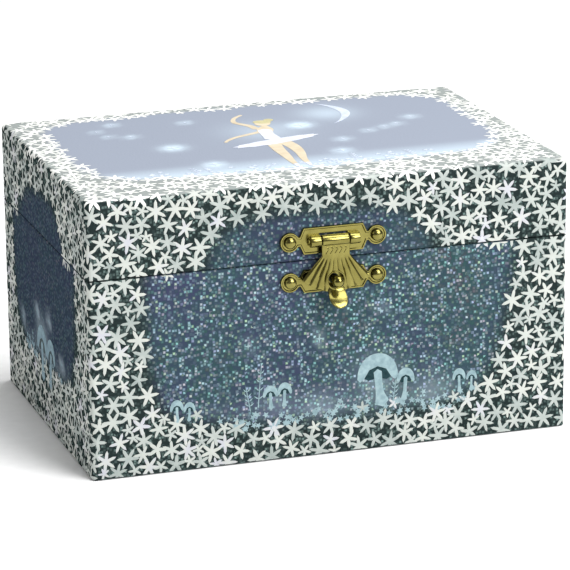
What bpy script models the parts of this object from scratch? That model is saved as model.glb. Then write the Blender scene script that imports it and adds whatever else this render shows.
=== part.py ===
"""Musical jewellery box: a hinged, paper-covered box with a brass hasp, a mirrored lid, lined
compartments and a wind-up movement that turns a small ballerina on a spring.

Lengths are in millimetres and become metres when a mesh is made. +X runs along the front from left
to right, +Y runs from front to back and +Z is up. The origin is the centre of the underside.
"""

import math

import bmesh
import bpy
from mathutils import Matrix, Vector

MM = 0.001

# Overall box
BOX_LENGTH = 155.0
BOX_DEPTH = 106.7
BOX_HEIGHT = 87.8
SEAM_Z = 63.0
GAP = 0.3
WRAP = 0.4
BOARD = 2.5
HALF_X = BOX_LENGTH / 2
HALF_Y = BOX_DEPTH / 2
BOARD_X = HALF_X - WRAP - GAP
BOARD_Y = HALF_Y - WRAP - GAP
INNER_X = BOARD_X - BOARD
INNER_Y = BOARD_Y - BOARD
RIM = WRAP + GAP + BOARD
LID_Z = SEAM_Z + GAP
BASE_SHEET = 0.5
FLOOR_Z = BASE_SHEET + GAP + BOARD

# Compartments
TRAY_BACK_Y = 13.7
LINING = 0.8
TRAY_RIM_Z = 58.0
PARTITION_Y = TRAY_BACK_Y + GAP
PARTITION_Z = 57.0
WELL_FRONT_Y = PARTITION_Y + BOARD + GAP
HOUSING_X = 44.0
STAGE_THICK = 2.5

# Lid fittings
MIRROR_X = 62.0
MIRROR_Y = 40.0
MIRROR_THICK = 1.5
SURROUND_THICK = 0.9
SURROUND_LAP = 4.0

# Back hinges
HINGE_Y = HALF_Y + GAP + 1.3
HINGE_Z = SEAM_Z + GAP / 2
HINGE_SPACING = 48.0
HINGE_WIDTH = 18.0
HINGE_KNUCKLE_R = 1.3
HINGE_BORE_R = 0.65
HINGE_PIN_R = 0.5
HINGE_LEAF = 0.6
HINGE_LEAF_TALL = 8.5

# Hasp on the front
HASP_Z = 69.5
HASP_KNUCKLE_R = 1.8
HASP_Y = -(HALF_Y + GAP + HASP_KNUCKLE_R)
HASP_BORE_R = 0.9
HASP_PIN_R = 0.7
CLASP_PLATE = 0.8
PLATE_HALF_X = 9.6
PLATE_SHOULDER = 1.2
PLATE_NECK = 1.5
HASP_HALF_Z = 4.2
CATCH_HALF_Z = 3.65
LEAF_FACES = (55.9, 56.7)
LEAF_NECK_X = 4.5
LEAF_NECK_Z = (68.4, 64.8)
TAB_HALF_X = 2.9
LOBE_X = 14.0
LOBE_R = 3.1
LEAF_KNUCKLE_X = 4.3
FAN_TOP_Z = 69.1
FAN_LEAF_R = 15.7
FAN_HALF_ANGLE = 44.0
FAN_SCALLOPS = 7
PLATE_KNUCKLE_X = 8.0
CATCH_Z = 56.8
STUD_Z = 57.0
STUD_BALL_R = 1.9
STUD_HOLE_R = 2.6
STUD_BALL_Y = -58.6
NAIL_R = 0.5
NAIL_HEAD_R = 1.9
NAIL_HOLE_R = 0.8

# Movement
BARREL_Z = 24.0
BARREL_R = 11.3
CROWN_FRONT_Y = 33.9
CROWN_ROOT_Y = 34.9
CROWN_INNER_R = 9.7
CROWN_TEETH = 42
BARREL_BACK_Y = 46.5
DRIVE_Y = 31.8
BEDPLATE_Y = 47.3
BEDPLATE_THICK = 2.2
PINION_TEETH = 10
COARSE_MODULE = 0.5
FINE_MODULE = 0.4
CYLINDER_R = 5.2
CYLINDER_X = (13.0, 31.0)
CYLINDER_TEETH = 32
GOVERNOR_PINION_TEETH = 12
GOVERNOR_Z = BARREL_Z - FINE_MODULE * (CYLINDER_TEETH + GOVERNOR_PINION_TEETH) / 2
GEAR_X = (32.2, 33.4)
WORM_WHEEL_TEETH = 20
WORM_WHEEL_X = (37.0, 38.2)
WORM_R = 1.4
WORM_X = 37.6
WORM_Y = DRIVE_Y - WORM_WHEEL_TEETH * FINE_MODULE / 2 - WORM_R
FAN_R = 3.2
KEY_HOLE_R = 3.2
STOP_X = 40.5
STOP_Y = 20.5
STOP_TOP_Z = 82.3
STOP_FOOT_Z = 22.6
STOP_WIRE_R = 0.7
BEDPLATE_X = (-18.0, 42.5)
BEDPLATE_Z = (5.0, 49.0)
SCREW_R = 0.9
SCREW_HOLE_R = 1.2
BEDPLATE_SCREW_X = {-1: -14.0, 1: 38.0}
BEDPLATE_SCREW_Z = 45.5
COMB_SCREW_X = {-1: 17.0, 1: 27.0}
COMB_SCREW_Z = 41.5
COMB_TEETH = 18
COMB_ROOT_Z = 37.0
COMB_TOP_Z = 44.0
BRACKET_X = (36.2, 41.0)
BRACKET_Z = (6.5, 29.0)

# Winding key
ARBOR_R = 2.0
KEY_BOSS = (57.6, 64.6)
KEY_BOSS_R = 3.3
KEY_WING_X = 8.2
KEY_WING_Y = 66.5
KEY_HALF_THICK = 0.8

# Ballerina, folded forward under the closed lid
FOLD_Z = 63.0
FERRULE = (4.9, 8.9)
FOOT = 9.2
WAIST = 36.0
SPRING_Z = 59.2
TUTU_R = 14.0

# Stay
RIBBON_X = -73.6
RIBBON_THICK = 0.5

UP = Matrix(((1, 0, 0), (0, 1, 0), (0, 0, 1)))
FRONT = Matrix(((1, 0, 0), (0, 0, -1), (0, 1, 0)))
ALONG_X = Matrix(((0, 0, 1), (1, 0, 0), (0, 1, 0)))
BACK = Matrix(((0, 1, 0), (0, 0, 1), (1, 0, 0)))

FINISHES = {
    "printed_paper": ((0.62, 0.68, 0.72), 0.35, 0.2),
    "greyboard": ((0.36, 0.34, 0.31), 0.9, 0.0),
    "felt_paper": ((0.05, 0.07, 0.12), 0.9, 0.0),
    "velvet": ((0.10, 0.13, 0.30), 0.95, 0.0),
    "satin_card": ((0.35, 0.42, 0.62), 0.6, 0.0),
    "mirror_glass": ((0.9, 0.92, 0.93), 0.03, 1.0),
    "polished_brass": ((0.80, 0.65, 0.25), 0.2, 1.0),
    "bright_steel": ((0.62, 0.62, 0.62), 0.3, 1.0),
    "spring_steel": ((0.30, 0.32, 0.36), 0.35, 1.0),
    "zinc_casting": ((0.50, 0.51, 0.52), 0.5, 1.0),
    "moulded_plastic": ((0.93, 0.80, 0.74), 0.4, 0.0),
    "tulle": ((0.93, 0.88, 0.95), 0.8, 0.0),
    "ribbon": ((0.55, 0.62, 0.82), 0.5, 0.0),
}


def clear_scene():
    for thing in list(bpy.data.objects):
        bpy.data.objects.remove(thing)


def finish_of(name):
    """The material of this finish, made once."""
    found = bpy.data.materials.get(name)
    if found:
        return found
    colour, roughness, metallic = FINISHES[name]
    made = bpy.data.materials.new(name)
    made.use_nodes = True
    shader = made.node_tree.nodes["Principled BSDF"]
    shader.inputs["Base Color"].default_value = (*colour, 1.0)
    shader.inputs["Roughness"].default_value = roughness
    shader.inputs["Metallic"].default_value = metallic
    return made


# Shapes: each function returns a closed bmesh in millimetres


def skin(loops, closed_ring=False):
    """A closed surface through loops of equally many points, capped at both ends unless it is a ring."""
    shape = bmesh.new()
    rows = [[shape.verts.new(point) for point in loop] for loop in loops]
    pairs = list(zip(rows, rows[1:]))
    if closed_ring:
        pairs.append((rows[-1], rows[0]))
    for low, high in pairs:
        for i in range(len(low)):
            j = (i + 1) % len(low)
            shape.faces.new((low[i], low[j], high[j], high[i]))
    if not closed_ring:
        shape.faces.new(reversed(rows[0]))
        shape.faces.new(rows[-1])
    bmesh.ops.recalc_face_normals(shape, faces=shape.faces)
    return shape


def turn(shape, rotation, origin=(0, 0, 0)):
    shape.transform(Matrix.Translation(Vector(origin)) @ rotation.to_4x4())
    return shape


def block(low, high):
    (x0, y0, z0), (x1, y1, z1) = low, high
    return skin([[(x0, y0, z), (x1, y0, z), (x1, y1, z), (x0, y1, z)] for z in (z0, z1)])


def prism(outline, low, high, facing=UP, origin=(0, 0, 0), twist=0.0):
    """The outline extruded along the facing axis from low to high, its far end turned by twist."""
    turned_end = Matrix.Rotation(twist, 2)
    ends = [[(u, v, low) for u, v in outline]]
    ends.append([(*(turned_end @ Vector(point)), high) for point in outline])
    return turn(skin(ends), facing, origin)


def circle(radius, sides, phase=0.5):
    angles = [2 * math.pi * (i + phase) / sides for i in range(sides)]
    return [(radius * math.cos(a), radius * math.sin(a)) for a in angles]


def rod(radius, low, high, facing, origin, sides=16):
    return prism(circle(radius, sides), low, high, facing, origin)


def turned(profile, facing, origin, sides=20):
    """A solid of revolution. The profile's (radius, along) points run from the low end to the high end."""
    loops = [[(x, y, along) for x, y in circle(radius, sides)] for radius, along in profile]
    return turn(skin(loops), facing, origin)


def walls(profile, half_x, half_y, centre=(0.0, 0.0), closed_ring=False):
    """A rectangular shell whose wall section is given as (inset, height) points."""
    cx, cy = centre
    loops = []
    for inset, z in profile:
        x, y = half_x - inset, half_y - inset
        loops.append([(cx - x, cy - y, z), (cx + x, cy - y, z), (cx + x, cy + y, z), (cx - x, cy + y, z)])
    return skin(loops, closed_ring)


def wire(path, radii, sides=6):
    """A tube along a path, with one radius for each point of the path."""
    points = [Vector(point) for point in path]
    loops = []
    side = None
    for i, point in enumerate(points):
        along = (points[min(i + 1, len(points) - 1)] - points[max(i - 1, 0)]).normalized()
        if side is None:
            side = along.orthogonal().normalized()
        side = (side - along * side.dot(along)).normalized()
        other = along.cross(side)
        ring = circle(radii[i], sides)
        loops.append([point + side * u + other * v for u, v in ring])
    return skin(loops)


def gear_outline(teeth, module, fill=0.36, addendum=0.85):
    """A spur gear's outline with straight-flanked teeth that fill this share of the pitch."""
    pitch_r = module * teeth / 2
    tip_r, root_r = pitch_r + addendum * module, pitch_r - 1.15 * module
    step = 2 * math.pi / teeth
    points = []
    for tooth in range(teeth):
        middle = tooth * step
        for radius, offset in ((root_r, -0.32), (tip_r, -fill * 0.3), (tip_r, fill * 0.3), (root_r, 0.32)):
            angle = middle + offset * step
            points.append((radius * math.cos(angle), radius * math.sin(angle)))
    return points


# Objects


def piece(name, shape, finish, pivot=None):
    """One named sub-part. Where it moves, its pivot is the empty on its joint's axis."""
    mesh = bpy.data.meshes.new(name)
    if pivot:
        shape.transform(Matrix.Translation(-pivot.location / MM))
    shape.transform(Matrix.Scale(MM, 4))
    shape.to_mesh(mesh)
    shape.free()
    made = bpy.data.objects.new(name, mesh)
    made.data.materials.append(finish_of(finish))
    made.parent = pivot
    bpy.context.scene.collection.objects.link(made)
    return made


def combine(target, shape, operation):
    """Joins the shape to the target, or cuts it out, with an exact Boolean."""
    if target.parent:
        shape.transform(Matrix.Translation(-target.parent.location / MM))
    tool = piece("tool", shape, "greyboard")
    tool.parent = target.parent
    modifier = target.modifiers.new("Boolean", "BOOLEAN")
    modifier.operation = operation
    modifier.solver = "EXACT"
    modifier.object = tool
    bpy.context.view_layer.update()
    evaluated = target.evaluated_get(bpy.context.evaluated_depsgraph_get())
    result = bpy.data.meshes.new_from_object(evaluated)
    target.modifiers.remove(modifier)
    result.materials.clear()
    result.materials.append(target.data.materials[0])
    target.data = result
    bpy.data.objects.remove(tool)


def add(target, *shapes):
    for shape in shapes:
        combine(target, shape, "UNION")


def cut(target, *shapes):
    for shape in shapes:
        combine(target, shape, "DIFFERENCE")


def smooth(*pieces):
    for made in pieces:
        made.data.shade_smooth()
        made.data.set_sharp_from_angle(angle=math.radians(35))


def pivot_at(name, point, parent=None):
    """An empty on a joint's axis."""
    made = bpy.data.objects.new(name, None)
    made.location = Vector(point) * MM
    made.empty_display_size = 5 * MM
    bpy.context.scene.collection.objects.link(made)
    return made


# The case and its compartments


def make_case():
    base = block((-BOARD_X, -BOARD_Y, 0), (BOARD_X, BOARD_Y, BASE_SHEET))
    piece("base_sheet", base, "felt_paper")
    low, top = BASE_SHEET + GAP, SEAM_Z - WRAP - GAP
    floor_x, floor_y = INNER_X - GAP, INNER_Y - GAP
    floor = block((-floor_x, -floor_y, low), (floor_x, floor_y, FLOOR_Z))
    piece("bottom_board", floor, "greyboard")
    front = block((-BOARD_X, -BOARD_Y, low), (BOARD_X, -INNER_Y, top))
    front = piece("front_board", front, "greyboard")
    back = block((-BOARD_X, INNER_Y, low), (BOARD_X, BOARD_Y, top))
    back = piece("back_board", back, "greyboard")
    for side, name in ((-1, "left_board"), (1, "right_board")):
        x0, x1 = sorted((side * INNER_X, side * BOARD_X))
        piece(name, block((x0, -floor_y, low), (x1, floor_y, top)), "greyboard")
    section = [(0, GAP), (0, SEAM_Z), (RIM, SEAM_Z), (RIM, SEAM_Z - WRAP)]
    section += [(WRAP, SEAM_Z - WRAP), (WRAP, GAP)]
    wrap = piece("case_wrap", walls(section, HALF_X, HALF_Y, closed_ring=True), "printed_paper")
    for side in (-1, 1):
        for target in (front, wrap):
            cut(target, rod(NAIL_HOLE_R, 45, 60, FRONT, (side * LOBE_X, 0, CATCH_Z), 10))
        cut(back, rod(SCREW_HOLE_R, 49, 54, BACK, (BEDPLATE_SCREW_X[side], 0, BEDPLATE_SCREW_Z), 10))
    for target in (back, wrap):
        cut(target, rod(KEY_HOLE_R, 49, 55, BACK, (0, 0, BARREL_Z), 20))


def make_compartments():
    tray_y = ((TRAY_BACK_Y - INNER_Y + GAP) / 2, (TRAY_BACK_Y + INNER_Y - GAP) / 2)
    low = FLOOR_Z + GAP
    section = [(0, low), (0, TRAY_RIM_Z), (LINING, TRAY_RIM_Z), (LINING, low + LINING)]
    tray = walls(section, INNER_X - GAP, tray_y[1], (0, tray_y[0]))
    piece("tray_lining", tray, "velvet")
    wide, back = INNER_X - GAP, INNER_Y - GAP
    wall = block((-wide, PARTITION_Y, low), (wide, PARTITION_Y + BOARD, PARTITION_Z))
    piece("rear_partition", wall, "velvet")
    for side, name in ((-1, "left_divider"), (1, "right_divider")):
        x0, x1 = sorted((side * HOUSING_X, side * (HOUSING_X + BOARD)))
        piece(name, block((x0, WELL_FRONT_Y, low), (x1, back, PARTITION_Z)), "velvet")
    stage_x = HOUSING_X - GAP
    stage = block((-stage_x, WELL_FRONT_Y, PARTITION_Z - STAGE_THICK), (stage_x, back, PARTITION_Z))
    stage = piece("stage_platform", stage, "velvet")
    cut(stage, rod(3.5, 50, 60, UP, (0, DRIVE_Y, 0), 20), rod(1.3, 50, 60, UP, (STOP_X, STOP_Y, 0), 12))


# The lid


def make_lid(lid):
    top_low = BOX_HEIGHT - WRAP - GAP - BOARD
    side_low, side_top = LID_Z + WRAP + GAP, top_low - GAP
    top = block((-BOARD_X, -BOARD_Y, top_low), (BOARD_X, BOARD_Y, top_low + BOARD))
    piece("lid_top_board", top, "greyboard", lid)
    front = block((-BOARD_X, -BOARD_Y, side_low), (BOARD_X, -INNER_Y, side_top))
    front = piece("lid_front_board", front, "greyboard", lid)
    back = block((-BOARD_X, INNER_Y, side_low), (BOARD_X, BOARD_Y, side_top))
    piece("lid_back_board", back, "greyboard", lid)
    for side, name in ((-1, "lid_left_board"), (1, "lid_right_board")):
        x0, x1 = sorted((side * INNER_X, side * BOARD_X))
        end = block((x0, -INNER_Y + GAP, side_low), (x1, INNER_Y - GAP, side_top))
        piece(name, end, "greyboard", lid)
    section = [(0, BOX_HEIGHT), (0, LID_Z), (RIM, LID_Z), (RIM, LID_Z + WRAP), (WRAP, LID_Z + WRAP)]
    section.append((WRAP, BOX_HEIGHT - WRAP))
    wrap = piece("lid_wrap", walls(section, HALF_X, HALF_Y), "printed_paper", lid)
    for side in (-1, 1):
        for target in (front, wrap):
            cut(target, rod(NAIL_HOLE_R, 45, 60, FRONT, (side * LOBE_X, 0, HASP_Z), 10))
    mirror_top = top_low - GAP
    mirror_low = mirror_top - MIRROR_THICK
    glass = block((-MIRROR_X, -MIRROR_Y, mirror_low), (MIRROR_X, MIRROR_Y, mirror_top))
    piece("mirror", glass, "mirror_glass", lid)
    low, high = mirror_low - GAP - SURROUND_THICK, mirror_low - GAP
    open_x, open_y = MIRROR_X - SURROUND_LAP, MIRROR_Y - SURROUND_LAP
    card = block((-INNER_X + GAP, -INNER_Y + GAP, low), (INNER_X - GAP, INNER_Y - GAP, high))
    surround = piece("mirror_surround", card, "satin_card", lid)
    cut(surround, block((-open_x, -open_y, low - 1), (open_x, open_y, high + 1)))


# Hinges, hasp and catch


def make_back_hinge(side, lid):
    """A butt hinge: the case leaf has the two outer knuckles and the lid leaf the middle one."""
    label = "left" if side < 0 else "right"
    middle = side * HINGE_SPACING
    third = HINGE_WIDTH / 3
    outer = ((-HINGE_WIDTH / 2, -third / 2 - GAP), (third / 2 + GAP, HINGE_WIDTH / 2))
    inner = ((-third / 2, third / 2),)
    face = (HALF_Y + GAP, HALF_Y + GAP + HINGE_LEAF)
    leaves = (("hinge_case_leaf", -1, outer, None), ("hinge_lid_leaf", 1, inner, lid))
    for name, way, knuckles, pivot in leaves:
        near, far = HINGE_Z + way * 1.65, HINGE_Z + way * HINGE_LEAF_TALL
        z0, z1 = sorted((near, far))
        plate = block((middle - HINGE_WIDTH / 2, face[0], z0), (middle + HINGE_WIDTH / 2, face[1], z1))
        leaf = piece(f"{name}_{label}", plate, "polished_brass", pivot)
        for x0, x1 in knuckles:
            z0, z1 = sorted((HINGE_Z + way * 0.3, HINGE_Z + way * 2.0))
            add(leaf, block((middle + x0, face[0], z0), (middle + x1, face[1], z1)))
            add(leaf, rod(HINGE_KNUCKLE_R, middle + x0, middle + x1, ALONG_X, (0, HINGE_Y, HINGE_Z), 16))
        bore = rod(HINGE_BORE_R, middle - 20, middle + 20, ALONG_X, (0, HINGE_Y, HINGE_Z), 16)
        cut(leaf, bore)
        smooth(leaf)
    reach = HINGE_WIDTH / 2 + 0.2
    pin = rod(HINGE_PIN_R, middle - reach, middle + reach, ALONG_X, (0, HINGE_Y, HINGE_Z), 12)
    smooth(piece(f"hinge_pin_{label}", pin, "bright_steel"))


def lobed_plate_outline(half_height):
    """A clasp plate: a middle block with slanted shoulders and a round lobe at each end."""
    neck, neck_x = PLATE_NECK, PLATE_HALF_X + PLATE_SHOULDER
    start = math.asin(neck / LOBE_R)
    lobe = [math.pi - start - (2 * math.pi - 2 * start) * i / 12 for i in range(13)]
    right = [(PLATE_HALF_X, half_height), (neck_x, neck)]
    right += [(LOBE_X + LOBE_R * math.cos(a), LOBE_R * math.sin(a)) for a in lobe]
    right += [(neck_x, -neck), (PLATE_HALF_X, -half_height)]
    left = [(-x, -y) for x, y in right]
    return right + left


def make_nails(name, height, pivot):
    for side, label in ((-1, "left"), (1, "right")):
        front = HALF_Y + GAP + CLASP_PLATE + 0.2
        head = [(NAIL_HEAD_R * math.cos(a), front + 1.1 * math.sin(a)) for a in (0, 0.5, 1.0, 1.4)]
        profile = [(NAIL_R, front - 4.2), (NAIL_R, front)] + head
        nail = turned(profile, FRONT, (side * LOBE_X, 0, height), 12)
        smooth(piece(f"{name}_{label}", nail, "polished_brass", pivot))


def make_catch():
    face = HALF_Y + GAP
    outline = lobed_plate_outline(CATCH_HALF_Z)
    plate = prism(outline, face, face + CLASP_PLATE, FRONT, (0, 0, CATCH_Z))
    plate = piece("catch_plate", plate, "polished_brass")
    for side in (-1, 1):
        cut(plate, rod(NAIL_HOLE_R, 50, 60, FRONT, (side * LOBE_X, 0, CATCH_Z), 10))
    cut(plate, rod(1.6, 50, 60, FRONT, (0, 0, STUD_Z), 16))
    ball = -STUD_BALL_Y
    arc = [2.45 - 0.35 * i for i in range(7)]
    profile = [(1.2, face + 0.05)]
    profile += [(STUD_BALL_R * math.sin(a), ball + STUD_BALL_R * math.cos(a)) for a in arc]
    smooth(piece("catch_stud", turned(profile, FRONT, (0, 0, STUD_Z), 16), "polished_brass"))
    make_nails("catch_nail", CATCH_Z, None)


def make_hasp_plate(lid):
    face = HALF_Y + GAP
    outline = lobed_plate_outline(HASP_HALF_Z)
    plate = prism(outline, face, face + CLASP_PLATE, FRONT, (0, 0, HASP_Z))
    plate = piece("hasp_plate", plate, "polished_brass", lid)
    window = LEAF_KNUCKLE_X + GAP
    cut(plate, block((-window, -face - 3, HASP_Z - 2.2), (window, -face + 1, HASP_Z + 2.2)))
    for side in (-1, 1):
        cut(plate, rod(NAIL_HOLE_R, 50, 60, FRONT, (side * LOBE_X, 0, HASP_Z), 10))
        x0, x1 = sorted((side * window, side * PLATE_KNUCKLE_X))
        add(plate, rod(HASP_KNUCKLE_R, x0, x1, ALONG_X, (0, HASP_Y, HASP_Z), 16))
    cut(plate, rod(HASP_BORE_R, -20, 20, ALONG_X, (0, HASP_Y, HASP_Z), 16))
    smooth(plate)
    pin = rod(HASP_PIN_R, -PLATE_KNUCKLE_X - 0.3, PLATE_KNUCKLE_X + 0.3, ALONG_X, (0, HASP_Y, HASP_Z), 12)
    smooth(piece("hasp_pin", pin, "polished_brass", lid))
    make_nails("hasp_nail", HASP_Z, lid)


def fan_outline():
    """The hanging leaf: a neck that opens to a fan with a scalloped lower edge."""
    lower = []
    steps = FAN_SCALLOPS * 4
    for step in range(steps + 1):
        angle = math.radians(FAN_HALF_ANGLE) * (1 - 2 * step / steps)
        radius = FAN_LEAF_R - 0.35 + 0.35 * abs(math.sin(math.pi * step / 4))
        lower.append((radius * math.sin(angle), FAN_TOP_Z - radius * math.cos(angle)))
    right = [(LEAF_NECK_X, z) for z in LEAF_NECK_Z]
    left = [(-x, z) for x, z in reversed(right)]
    return right + lower + left


def make_hasp_leaf(hasp):
    low, high = LEAF_FACES
    leaf = prism(fan_outline(), low, high, FRONT)
    leaf = piece("hasp_leaf", leaf, "polished_brass", hasp)
    link = block((-LEAF_KNUCKLE_X, -high, 68.2), (LEAF_KNUCKLE_X, -low, HASP_Z))
    add(leaf, link)
    add(leaf, rod(HASP_KNUCKLE_R, -LEAF_KNUCKLE_X, LEAF_KNUCKLE_X, ALONG_X, (0, HASP_Y, HASP_Z), 16))
    cut(leaf, rod(HASP_BORE_R, -20, 20, ALONG_X, (0, HASP_Y, HASP_Z), 16))
    tab = [(-56.0, 54.6), (-56.6, 54.6), (-58.2, 53.6), (-61.8, 49.9)]
    tab += [(-61.2, 49.3), (-57.6, 52.6), (-56.0, 53.4)]
    add(leaf, prism(tab, -TAB_HALF_X, TAB_HALF_X, ALONG_X))
    cut(leaf, rod(STUD_HOLE_R, 50, 62, FRONT, (0, 0, STUD_Z), 20))
    smooth(leaf)


# The movement


def make_bedplate():
    """The casting that carries everything: posts for the cylinder, a ledge for the comb, an arm above."""
    back = BEDPLATE_Y + BEDPLATE_THICK
    low, high = zip(BEDPLATE_X, (BEDPLATE_Y, back), BEDPLATE_Z)
    plate = block(low, high)
    plate = piece("movement_bedplate", plate, "zinc_casting")
    reach = BEDPLATE_Y + 1
    add(
        plate,
        block((-4.5, DRIVE_Y - 4, 41), (4.5, reach, 48)),
        block((12, DRIVE_Y + 0.8, 38.5), (32, reach, 44.5)),
        block((11.6, DRIVE_Y - 2.4, 21.5), (12.7, reach, 26.5)),
        block((34.2, DRIVE_Y - 2.4, 21.5), (35.6, reach, 26.5)),
    )
    cut(
        plate,
        rod(1.75, 38, 50, UP, (0, DRIVE_Y, 0), 16),
        rod(1.1, 10, 37, ALONG_X, (0, DRIVE_Y, BARREL_Z), 12),
        rod(2.4, 46, 51, BACK, (0, 0, BARREL_Z), 16),
    )
    for side in (-1, 1):
        cut(plate, rod(SCREW_HOLE_R, 46, 51, BACK, (BEDPLATE_SCREW_X[side], 0, BEDPLATE_SCREW_Z), 10))
        cut(plate, rod(SCREW_HOLE_R, 31, 40, BACK, (COMB_SCREW_X[side], 0, COMB_SCREW_Z), 10))


def screw(name, x, z, head_y, length):
    """A cheese-head screw driven towards the back."""
    profile = [(1.7, head_y - 1.2), (1.9, head_y - 0.9), (1.9, head_y), (SCREW_R, head_y)]
    profile.append((SCREW_R, head_y + length))
    smooth(piece(name, turned(profile, BACK, (x, 0, z), 12), "bright_steel"))


def make_comb():
    x0, x1 = CYLINDER_X
    pitch = (x1 - x0) / COMB_TEETH
    root_z, tip_z = COMB_ROOT_Z, BARREL_Z + CYLINDER_R + 0.6
    outline = [(x1, COMB_TOP_Z), (x0, COMB_TOP_Z)]
    for tooth in range(COMB_TEETH):
        left = x0 + tooth * pitch
        outline += [(left, root_z), (left + 0.1, tip_z)]
        outline += [(left + pitch - 0.4, tip_z), (left + pitch - 0.3, root_z)]
    outline.append((x1, root_z + 0.5))
    comb = prism(outline, -DRIVE_Y - 0.5, -DRIVE_Y + 0.3, FRONT)
    comb = piece("comb", comb, "spring_steel")
    for side, label in ((-1, "left"), (1, "right")):
        cut(comb, rod(SCREW_HOLE_R, 30, 34, BACK, (COMB_SCREW_X[side], 0, COMB_SCREW_Z), 10))
        screw(f"comb_screw_{label}", COMB_SCREW_X[side], COMB_SCREW_Z, DRIVE_Y - 0.6, 6)
        screw(f"bedplate_screw_{label}", BEDPLATE_SCREW_X[side], BEDPLATE_SCREW_Z, BEDPLATE_Y - GAP, 5)


def make_barrel(barrel):
    """An open-backed drum, and the crown wheel fixed round its front."""
    axis = (0, 0, BARREL_Z)
    wall = BARREL_R - 0.9
    front = CROWN_ROOT_Y + 0.9
    section = [(1.5, front + 1.1), (wall, front + 1.1), (wall, BARREL_BACK_Y), (BARREL_R, BARREL_BACK_Y)]
    section += [(BARREL_R, CROWN_ROOT_Y + 1.7), (CROWN_INNER_R - GAP, CROWN_ROOT_Y + 1.7)]
    section += [(CROWN_INNER_R - GAP, front), (1.5, front)]
    loops = [[(x, y, along) for x, y in circle(radius, 32)] for radius, along in section]
    drum = turn(skin(loops, closed_ring=True), BACK, axis)
    smooth(piece("spring_barrel", drum, "polished_brass", barrel))

    heights = (CROWN_ROOT_Y, CROWN_FRONT_Y, CROWN_FRONT_Y, CROWN_ROOT_Y)
    offsets = (-0.32, -0.11, 0.11, 0.32)
    back = CROWN_ROOT_Y + 1.7 - GAP
    loops = []
    for step in range(CROWN_TEETH * 4):
        tooth, corner = divmod(step, 4)
        angle = 2 * math.pi * (tooth + 0.5 + offsets[corner]) / CROWN_TEETH
        along = heights[corner]
        ring = ((CROWN_INNER_R, back), (BARREL_R, back), (BARREL_R, along), (CROWN_INNER_R, along))
        loops.append([(r * math.cos(angle), r * math.sin(angle), depth) for r, depth in ring])
    crown = turn(skin(loops, closed_ring=True), BACK, axis)
    piece("crown_wheel", crown, "polished_brass", barrel)


def make_mainspring(barrel):
    turns, per_turn, inner, outer, thick = 5, 16, 1.9, 9.7, 0.45
    count = turns * per_turn + 1
    edges = []
    for offset in (0, thick):
        edge = []
        for i in range(count):
            angle = 2 * math.pi * i / per_turn
            radius = inner + (outer - inner) * i / (count - 1) + offset
            edge.append((radius * math.cos(angle), radius * math.sin(angle)))
        edges.append(edge)
    outline = edges[1] + edges[0][::-1]
    coil = prism(outline, CROWN_ROOT_Y + 2.6, BARREL_BACK_Y - 1, BACK, (0, 0, BARREL_Z))
    piece("mainspring", coil, "spring_steel", barrel)


def make_winding(key):
    arbor = [(1.2, CROWN_FRONT_Y - 0.8), (1.2, BARREL_BACK_Y + 0.2)]
    arbor += [(ARBOR_R, BARREL_BACK_Y + 0.3), (ARBOR_R, 57.0), (1.4, 57.1), (1.4, 62.0)]
    smooth(piece("winding_arbor", turned(arbor, BACK, (0, 0, BARREL_Z), 16), "bright_steel", key))
    near, far = KEY_BOSS
    boss = [(KEY_BOSS_R - 0.3, near), (KEY_BOSS_R, near + 0.4), (KEY_BOSS_R, far - 1.2), (2.6, far)]
    handle = piece("winding_key", turned(boss, BACK, (0, 0, BARREL_Z), 20), "polished_brass", key)
    wing = []
    for i in range(17):
        angle = math.radians(-150 + 300 * i / 16)
        wing.append((KEY_WING_X + 6.0 * math.cos(angle), KEY_WING_Y + 4.8 * math.sin(angle)))
    wing = [(1.0, 62.6)] + wing + [(1.0, 70.6)]
    outline = wing + [(-x, y) for x, y in reversed(wing)]
    add(handle, prism(outline, -KEY_HALF_THICK, KEY_HALF_THICK, UP, (0, 0, BARREL_Z)))
    for side in (-1, 1):
        cut(handle, rod(2.6, -3, 3, UP, (side * 8.4, KEY_WING_Y, BARREL_Z), 16))
    cut(handle, rod(1.7, 50, 62.4, BACK, (0, 0, BARREL_Z), 16))
    smooth(handle)


def make_cylinder(pivot):
    axis = (0, DRIVE_Y, BARREL_Z)
    x0, x1 = CYLINDER_X
    profile = [(0.8, 9.2), (0.8, x0), (CYLINDER_R, x0 + 0.05), (CYLINDER_R, x1)]
    profile += [(0.8, x1 + 0.05), (0.8, 36.0)]
    drum = piece("pin_cylinder", turned(profile, ALONG_X, axis, 32), "polished_brass", pivot)
    half_step = math.pi / PINION_TEETH
    mesh_x = COARSE_MODULE * CROWN_TEETH / 2
    toothed = gear_outline(PINION_TEETH, COARSE_MODULE)
    pinion = prism(toothed, mesh_x - 0.6, mesh_x + 0.6, turn_about(ALONG_X, half_step), axis)
    add(drum, pinion)
    smooth(drum)
    wheel = prism(gear_outline(CYLINDER_TEETH, FINE_MODULE), *GEAR_X, ALONG_X, axis)
    wheel = piece("cylinder_gear", wheel, "polished_brass", pivot)
    cut(wheel, rod(1.15, 30, 36, ALONG_X, axis, 16))


def turn_about(facing, angle):
    return facing @ Matrix.Rotation(angle, 3, "Z")


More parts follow.
